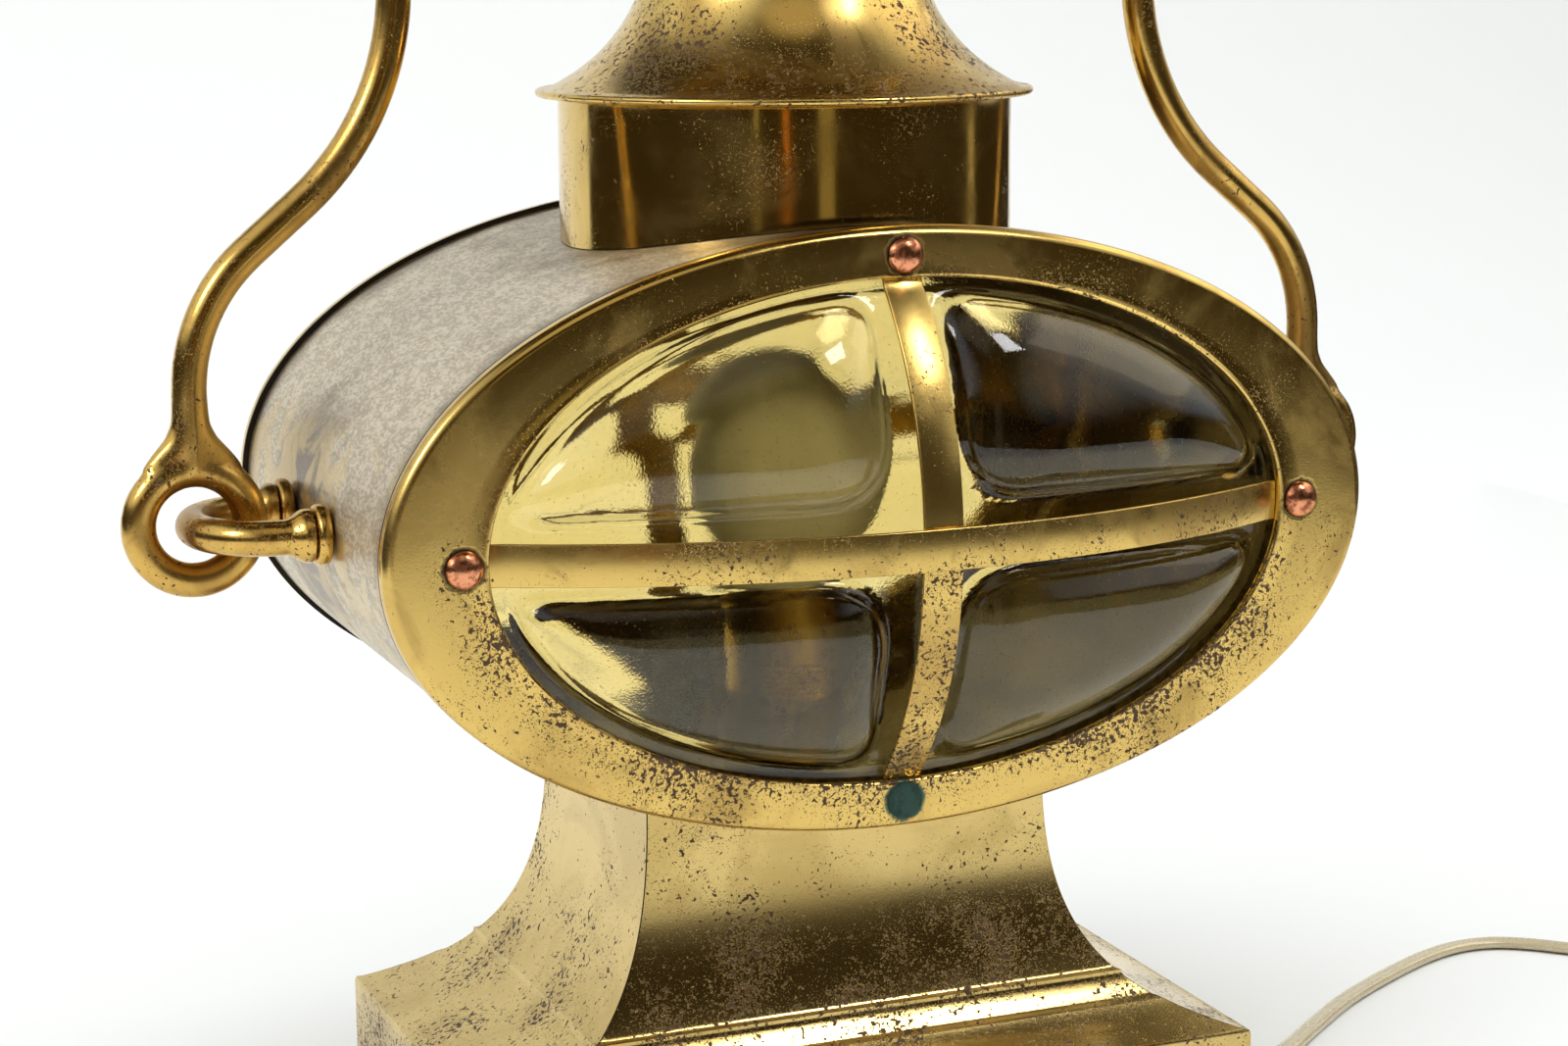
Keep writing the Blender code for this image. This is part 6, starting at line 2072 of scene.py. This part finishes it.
@dataclass
class Bail(Assembly):
    """The bent rod handle with a forged eye at each end.

    Attributes:
        rod: Radius of the rod.
        eye_x: Distance of an eye's centre from the middle.
        eye: Radius of the eye's own line.
        eye_rise: Height of the eye's centre over the drum's axis.
        shank_top: Where the lower bend starts, above the axis.
        lower: Radius of the lower bend.
        upper: Radius of the upper bend.
        slant: Straight length between the bends.
        arch: Radius of the arch.
        spring: Least height of the arch's centre above the axis.
        voxel: Mesh size of the forged body.
    """

    rod: float = 0.00475
    eye_x: float = 0.1696
    eye: float = 0.0149
    eye_rise: float = 0.0012
    shank_top: float = 0.0360
    lower: float = 0.0480
    upper: float = 0.0750
    slant: float = 0.0194
    arch: float = 0.1110
    spring: float = 0.1600
    voxel: float = 0.0008

    def turn(self) -> float:
        """The turn of the two bends that take an arm from the eye in to the arch.

        Returns:
            The turn in radians.
        """
        low, high = -math.pi / 2, math.pi / 2
        for _ in range(60):
            middle = (low + high) / 2
            curve = (1 - math.cos(middle)) * math.copysign(1.0, middle)
            if (self.lower + self.upper) * curve + self.slant * math.sin(middle) < self.eye_x - self.arch:
                low = middle
            else:
                high = middle
        return (low + high) / 2

    def arm(self) -> Outline:
        """The right arm as x and height above the axis, from the eye to the arch.

        Returns:
            Its points.
        """
        turn = self.turn()
        way, size = math.copysign(1.0, turn), abs(turn)
        eye_top = self.eye_rise + self.eye
        line = [(self.eye_x, eye_top), (self.eye_x, (self.shank_top + eye_top) / 2)]
        for step in range(13):
            angle = size * step / 12
            line.append((self.eye_x - way * self.lower * (1 - math.cos(angle)),
                         self.shank_top + self.lower * math.sin(angle)))
        x = line[-1][0] - way * self.slant * math.sin(size)
        height = line[-1][1] + self.slant * math.cos(size)
        end_x = x - way * self.upper * (1 - math.cos(size))
        end_height = height + self.upper * math.sin(size)
        for step in range(17):
            angle = size * (1 - step / 16)
            line.append((end_x + way * self.upper * (1 - math.cos(angle)),
                         end_height - self.upper * math.sin(angle)))
        return line

    def line(self) -> list[Vector]:
        """The whole rod's middle line.

        Returns:
            Its points, from the right eye to the left.
        """
        arm = self.arm()
        right = [Vector((x, 0.0, AXIS.z + height)) for x, height in arm]
        spring = max(self.spring, arm[-1][1] + self.rod)
        arch = [Vector((self.arch * math.cos(a), 0.0, AXIS.z + spring + self.arch * math.sin(a)))
                for a in [math.pi * k / 60 for k in range(61)]]
        left = [Vector((-point.x, 0.0, point.z)) for point in reversed(right)]
        return right + arch + left

    def shank(self, side: int) -> Solid:
        """The shoulders that widen the rod's end into its eye.

        Args:
            side: Side of the drum, -1 or 1.

        Returns:
            The closed body.
        """
        rows = ((0.0365, 1.00, 1.00), (0.0310, 1.02, 1.0), (0.0270, 1.10, 1.0), (0.0235, 1.45, 0.97),
                (0.0205, 2.00, 0.92), (0.0175, 2.55, 0.88), (0.0150, 2.85, 0.84))
        foot = AXIS + X * side * self.eye_x + Z * self.eye_rise
        return loft([oval(foot + Z * height, X * self.rod * wide, Y * self.rod * deep, 32)
                     for height, wide, deep in rows])

    def ring(self, side: int) -> Solid:
        """The eye, a little flattened across its faces."""
        line = oval(AXIS + X * side * self.eye_x + Z * self.eye_rise, X * self.eye, Z * self.eye, 64)
        centre = sum(line, Vector()) / len(line)
        return loft([oval(point, (point - centre).normalized() * self.rod, Y * 0.93 * self.rod, 20)
                     for point in line], loop=True)

    def build(self) -> None:
        """Forge the bail into one smooth body."""
        line = self.line()
        rings = []
        last = len(line) - 1
        for index, point in enumerate(line):
            way = (line[min(index + 1, last)] - line[max(index - 1, 0)]).normalized()
            rings.append(oval(point, Y * self.rod, way.cross(Y) * self.rod, 24))
        eyes = [shape for side in (-1, 1) for shape in (self.ring(side), self.shank(side))]
        whole = joined([loft(rings), *eyes])

        def dress(thing: Thing) -> list[Thing]:
            """Fuse and smooth the body; nothing else is used.

            Args:
                thing: The body.

            Returns:
                No further objects.
            """
            fuse = thing.modifiers.new("fuse", "REMESH")
            fuse.mode = "VOXEL"
            fuse.voxel_size = self.voxel
            smooth = thing.modifiers.new("smooth", "SMOOTH")
            smooth.factor = 0.5
            smooth.iterations = 10
            return []

        shape = applied(whole, dress)
        Piece("bail", Body.BAIL, ("bail_handle",), "brass").show(shape, self.finishes.rod, math.radians(75.0))


@dataclass
class Staples(Assembly):
    """The two staples that carry the bail, their washers and nuts.

    Attributes:
        rod: Radius of the staple's rod.
        crown: Distance of its crown from the middle.
        half: Half its spread.
        foot: Radius of a leg's foot.
        foot_length: Length of the foot.
        stud: Radius of the studs.
        washer: Radius of a washer.
        washer_thick: Its thickness.
        wall: Distance of the drum's side from the middle.
    """

    rod: float = 0.00475
    crown: float = 0.1696
    half: float = 0.0210
    foot: float = 0.0072
    foot_length: float = 0.0070
    stud: float = 0.0025
    washer: float = 0.0082
    washer_thick: float = 0.0040
    wall: float = 0.1389

    def line(self) -> tuple[list[Vector], list[float]]:
        """The right staple's middle line and the radius along it.

        Returns:
            The points, and the radius at each.
        """
        foot = self.wall + self.washer_thick + 0.0003
        bend = self.crown - self.half
        half = [(0.1310, self.stud), (foot - 0.0002, self.stud), (foot, self.foot * 0.93),
                (foot + 0.0005, self.foot)]
        for step in range(9):
            share = step / 8
            ease = share * share * (3 - 2 * share)
            half.append((foot + 0.0016 + (self.foot_length - 0.0016) * share,
                         self.foot + (self.rod - self.foot) * ease))
        bend = max(bend, half[-1][0] + 0.0005)
        points = [Vector((x, -self.half, AXIS.z)) for x, _ in half]
        radii = [radius for _, radius in half]
        for step in range(33):
            angle = -math.pi / 2 + math.pi * step / 32
            points.append(Vector((bend + (self.crown - bend) * math.cos(angle), self.half * math.sin(angle),
                                  AXIS.z)))
            radii.append(self.rod)
        points += [Vector((x, self.half, AXIS.z)) for x, _ in reversed(half)]
        radii += [radius for _, radius in reversed(half)]
        return points, radii

    def build(self) -> None:
        """Build both staples and the washers."""
        points, radii = self.line()
        legs = (len(points) - 33) // 2
        for hand in Hand:
            rings = []
            for index, (point, radius) in enumerate(zip(points, radii)):
                if index < legs:
                    way = Vector((1.0, 0.0, 0.0))
                elif index >= len(points) - legs:
                    way = Vector((-1.0, 0.0, 0.0))
                else:
                    way = (points[index + 1] - points[index - 1]).normalized()
                ring = oval(point, way.cross(Z) * radius, Z * radius, 24)
                rings.append([Vector((hand.value * place.x, place.y, place.z)) for place in ring])
            Piece(f"staple_{hand.label}_loop", Body.LANTERN, (f"staple_{hand.label}",), "brass").show(
                loft(rings), self.finishes.rod)
        places, names = [], []
        for hand in Hand:
            for depth, y in (("front", -self.half), ("rear", self.half)):
                node = f"staple_washer_{hand.label}_{depth}"
                box = Extent.of(node)
                places.append((box.centre, Vector((hand.value, 0.0, 0.0))))
                names.append(node)
        shape = self.trees.washers.grow(faced_points(places), {
            "Outer Radius": self.washer, "Bore Radius": self.stud + 0.0003, "Thickness": self.washer_thick,
            "Rounding": 0.0015, "Material": self.finishes.rod})
        Piece("staple_washers", Body.LANTERN, tuple(names), "brass").show(shape, self.finishes.rod)


# ------------------------------------------------------------------ pedestal


@dataclass
class Pedestal(Assembly):
    """The flared base: four mitred panels, a felt pad and a plate.

    Attributes:
        neck_width: Half its width under the drum.
        neck_depth: Half its depth there.
        flare_width: How far a side panel flares.
        flare_depth: How far a front panel flares.
        top: Height where the flare starts.
        band: Height of the upright band's upper edge.
        low: Height of its lower edge.
        sheet: Thickness of the sheet.
        bead: Heights of the two raised lines.
        bead_rise: How far they stand out.
        bead_half: Half their width.
    """

    neck_width: float = 0.0598
    neck_depth: float = 0.0444
    flare_width: float = 0.0525
    flare_depth: float = 0.0297
    top: float = 0.1042
    band: float = 0.0285
    low: float = 0.0018
    sheet: float = 0.0012
    bead: tuple[float, float] = (0.0452, 0.0382)
    bead_rise: float = 0.0007
    bead_half: float = 0.0011

    def outline(self) -> Outline:
        """The outside as share of the flare and height, from the neck down.

        Returns:
            Its points.
        """
        rise = self.top - self.band
        controls = [(0.0, self.top), (0.0, self.band + 0.366 * rise), (0.337, self.band + 0.128 * rise),
                    (1.0, self.band)]
        line = []
        for step in range(1, 97):
            t = step / 96
            s = 1 - t
            weights = (s ** 3, 3 * s * s * t, 3 * s * t * t, t ** 3)
            line.append(tuple(sum(w * c[axis] for w, c in zip(weights, controls)) for axis in (0, 1)))
        line.pop()
        line += [(0.992, self.band + 0.0003), (0.9975, self.band - 0.0002), (1.0, self.band - 0.0012)]
        line += [(1.0, self.band - 0.0012 - (self.band - 0.0012 - self.low) * k / 6) for k in range(1, 7)]
        return line

    def raised(self, height: float) -> float:
        """How far the surface stands out at a height.

        Args:
            height: The height.

        Returns:
            The distance.
        """
        first, second = self.bead
        lift = self.bead_rise * math.exp(-((height - first) / (0.55 * self.bead_half)) ** 2)
        step = min(max((height - second) / 0.0006 + 0.5, 0.0), 1.0)
        ledge = 0.0004 * (1.0 - step) * min(1.0, max(0.0, (height - self.band) / 0.004))
        return lift + ledge

    def rows(self, facing_y: bool, sign: int, drum: DrumBody) -> tuple[list[Ring], list[Ring]]:
        """Outer and inner rows of points of one panel, from the drum down.

        Args:
            facing_y: The panel faces along Y rather than X.
            sign: The way that it faces.
            drum: The drum that it is cut to.

        Returns:
            The outer rows and the inner rows.
        """
        near, far = self.neck_width, self.neck_depth
        flare, other = self.flare_width, self.flare_depth
        if facing_y:
            near, far, flare, other = far, near, other, flare
        ratio = other / flare
        seam = 0.00015 * math.hypot(1.0, ratio)
        columns = 56

        def row(out: float, height: float, on_drum: bool) -> Ring:
            """One row of points across the panel.

            Args:
                out: Its distance from the middle.
                height: Its height.
                on_drum: It follows the drum's underside at any height.

            Returns:
                The row.
            """
            half = far + (out - near) * ratio - seam
            points = []
            for index in range(columns + 1):
                along = half * (2 * index / columns - 1)
                x, y = (along, sign * out) if facing_y else (sign * out, along)
                z = AXIS.z - drum.height_at(x, 0.0003) if on_drum else height
                points.append(Vector((x, y, z)))
            return points

        line = self.outline()
        outer = [row(near, 0.0, True)]
        inner = [row(near - self.sheet, 0.0, True)]
        last = len(line) - 1
        for index, (share, height) in enumerate(line):
            ahead, behind = line[min(index + 1, last)], line[max(index - 1, 0)]
            run = (ahead[0] - behind[0]) * flare
            drop = ahead[1] - behind[1]
            length = math.hypot(run, drop) or 1.0
            normal = (-drop / length, run / length)
            out = near + share * flare
            lift = self.raised(height)
            outer.append(row(out + normal[0] * lift, height + normal[1] * lift, False))
            inner.append(row(out - normal[0] * self.sheet, height - normal[1] * self.sheet, False))
        inner[-1] = row(near + flare - self.sheet, line[-1][1], False)
        return outer, inner

    def panel(self, outer: list[Ring], inner: list[Ring]) -> Solid:
        """Close a panel's two faces with its four edges.

        Args:
            outer: Rows of the outside.
            inner: Rows of the inside.

        Returns:
            The closed panel.
        """
        mesh = bmesh.new()
        grids = [[[mesh.verts.new(point) for point in row] for row in grid] for grid in (outer, inner)]
        rows, columns = len(outer), len(outer[0])
        for grid in grids:
            for r in range(rows - 1):
                for c in range(columns - 1):
                    mesh.faces.new((grid[r][c], grid[r][c + 1], grid[r + 1][c + 1], grid[r + 1][c]))
        front, back = grids
        for r in (0, rows - 1):
            for c in range(columns - 1):
                mesh.faces.new((front[r][c], front[r][c + 1], back[r][c + 1], back[r][c]))
        for c in (0, columns - 1):
            for r in range(rows - 1):
                mesh.faces.new((front[r][c], front[r + 1][c], back[r + 1][c], back[r][c]))
        bmesh.ops.recalc_face_normals(mesh, faces=mesh.faces)
        return mesh

    def felt(self) -> None:
        """The felt pad, its corners cut round."""
        box = Extent.of("felt_pad")
        corners = rounded([(-box.half.x, -box.half.y), (box.half.x, -box.half.y), (box.half.x, box.half.y),
                           (-box.half.x, box.half.y)], 0.0040, 6)
        rings = []
        for inset, height in ((0.0004, 0.0), (0.0, 0.0003), (0.0, box.high.z - 0.0003), (0.0004, box.high.z)):
            rings.append([Vector((x * (1 - inset / box.half.x), y * (1 - inset / box.half.y), height))
                          for x, y in corners])
        Piece("felt", Body.LANTERN, ("felt_pad",), "felt").show(loft(rings), self.finishes.felt)

    def build(self, drum: DrumBody) -> None:
        """Build the four panels and the felt.

        Args:
            drum: The drum that the panels' upper edges follow.
        """
        sides = (("front", True, -1), ("rear", True, 1), ("left", False, -1), ("right", False, 1))
        for name, facing_y, sign in sides:
            shape = self.panel(*self.rows(facing_y, sign, drum))
            if name == "right":
                start = Vector((0.100, -0.0400, 0.0100))
                shape = cut_away(shape, [rod(start, start + X * 0.025, 0.0047)])
            Piece(f"base_panel_{name}", Body.LANTERN, (f"pedestal_{name}_panel",), "brass").show(
                shape, self.finishes.pedestal, math.radians(30.0))
        self.felt()


# ------------------------------------------------------------------ lamp inside


@dataclass
class LampWorks(Assembly):
    """The bulb, socket and switch knob inside the drum.

    Attributes:
        socket: Radius of the socket.
        wall: Thickness of its sheet.
        globe: Radius of the bulb's globe.
        base: Radius of the bulb's base.
    """

    socket: float = 0.0178
    wall: float = 0.0008
    globe: float = 0.0280
    base: float = 0.0129

    def bulb(self) -> None:
        """The frosted globe bulb with its threaded base."""
        box = Extent.of("bulb")
        centre = box.high.z - self.globe
        neck = centre - self.globe * 0.80 - 0.0100
        section: Outline = [(0.0, box.low.z), (0.0045, box.low.z), (0.0060, box.low.z + 0.0008),
                            (0.0110, box.low.z + 0.0034), (self.base - 0.0006, box.low.z + 0.0045)]
        height = box.low.z + 0.0050
        while height < neck - 0.002:
            section += [(self.base, height + 0.0009), (self.base - 0.0009, height + 0.0022)]
            height += 0.0026
        section += [(self.base, neck), (self.base - 0.0004, neck + 0.0015)]
        for step in range(41):
            angle = math.radians(-58.0 + 148.0 * step / 40)
            section.append((self.globe * math.cos(angle), centre + self.globe * math.sin(angle)))
        section[-1] = (0.0, centre + self.globe)
        shape = loft([circle(radius, z, 72) for radius, z in section])
        Piece("globe_bulb", Body.LANTERN, ("bulb",), "bulb_glass").show(shape, self.finishes.bulb)

    def holder(self) -> None:
        """The socket's cup and its beaded shell."""
        cup = Extent.of("socket_cup")
        low, edge = cup.low.z, cup.high.z
        foot, bore = 0.6 * self.socket, 0.0052
        shoulder = low + 0.6 * (edge - low)
        section = rounded([(bore, low), (foot, low), (self.socket, shoulder), (self.socket, edge),
                           (self.socket - self.wall, edge), (self.socket - self.wall, shoulder + self.wall),
                           (foot - self.wall, low + self.wall), (bore, low + self.wall)], 0.0030, 4, {1, 2, 5, 6})
        Piece("socket_foot", Body.LANTERN, ("socket_cup",), "brass").show(turned(section, 72), self.finishes.plain)
        shell = Extent.of("socket_shell")
        rows = [shell.low.z + (shell.high.z - shell.low.z) * k / 60 for k in range(61)]
        outside = [(self.socket - (0.0003 if 8 < k < 26 and k % 3 == 0 else 0.0), z) for k, z in enumerate(rows)]
        inside = [(self.socket - self.wall, z) for z in (rows[-1], rows[0])]
        tube = turned(outside + inside, 72)
        knob = Extent.of("switch_knob")
        height = knob.centre.z
        hole = rod(Vector((0.008, 0.0, height)), Vector((0.030, 0.0, height)), 0.0021, 24)
        piece = Piece("socket_tube", Body.LANTERN, ("socket_shell",), "brass")
        piece.show(cut_away(tube, [hole]), self.finishes.plain)

    def knob(self) -> None:
        """The flat-sided switch knob on its stem."""
        box = Extent.of("switch_knob")
        height = box.centre.z
        reach = self.socket + 0.0035
        rows = [(box.low.x, 0.0018, 0.0018), (reach - 0.0006, 0.0018, 0.0018), (reach, 0.0017, 0.0026)]
        length = box.high.x - reach
        for share, breadth in ((0.03, 0.52), (0.12, 0.66), (0.25, 0.80), (0.42, 0.93), (0.6, 1.0), (0.78, 0.98),
                               (0.90, 0.90), (0.97, 0.78), (1.0, 0.62)):
            rows.append((reach + share * length, 0.0020 * (0.7 + 0.3 * breadth), 0.0055 * breadth))
        rings = []
        for x, thick, high in rows:
            power = 1.0 if x < reach else 0.7
            rings.append(oval(Vector((x, 0.0, height)), Y * thick, Z * high, 36, (power, power), 0.5))
        Piece("knob", Body.KNOB, ("switch_knob",), "phenolic").show(loft(rings), self.finishes.phenolic)

    def build(self) -> None:
        """Build the bulb, the socket and the knob."""
        self.bulb()
        self.holder()
        self.knob()


@dataclass(frozen=True)
class CarriedNodes:
    """Frame nodes that keep their own shape and only get a finish."""

    metal: tuple[str, ...] = ("base_plate", "lamp_pipe", "pipe_upper_nut", "pipe_lower_nut")

    def dress(self, finishes: Finishes) -> None:
        """Give each carried node its finish.

        Args:
            finishes: Every finish.
        """
        wanted = {name: finishes.zinc for name in self.metal}
        wanted["socket_insert"] = finishes.porcelain
        for hand in Hand:
            for depth in ("front", "rear"):
                wanted[f"staple_nut_{hand.label}_{depth}"] = finishes.zinc
        for name, material in wanted.items():
            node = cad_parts[name]
            for slot in node.material_slots:
                slot.material = material
            LOG.info("%s: carried over, %s", name, material.name)


def main() -> None:
    """Build the studio and the lantern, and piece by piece."""
    logging.basicConfig(level=logging.INFO, format="%(message)s")
    shared = (Finishes(), Trees())
    Studio().build()
    FlexCord(*shared).build()
    drum = DrumBody(*shared)
    drum.build()
    ends = [LensEnd(*shared, end) for end in End]
    for lens_end in ends:
        lens_end.build()
    Rivets(*shared).build(ends)
    Hood(*shared).build()
    Bail(*shared).build()
    Staples(*shared).build()
    Pedestal(*shared).build(drum)
    LampWorks(*shared).build()
    CarriedNodes().dress(shared[0])


if __name__ == "__main__":
    main()
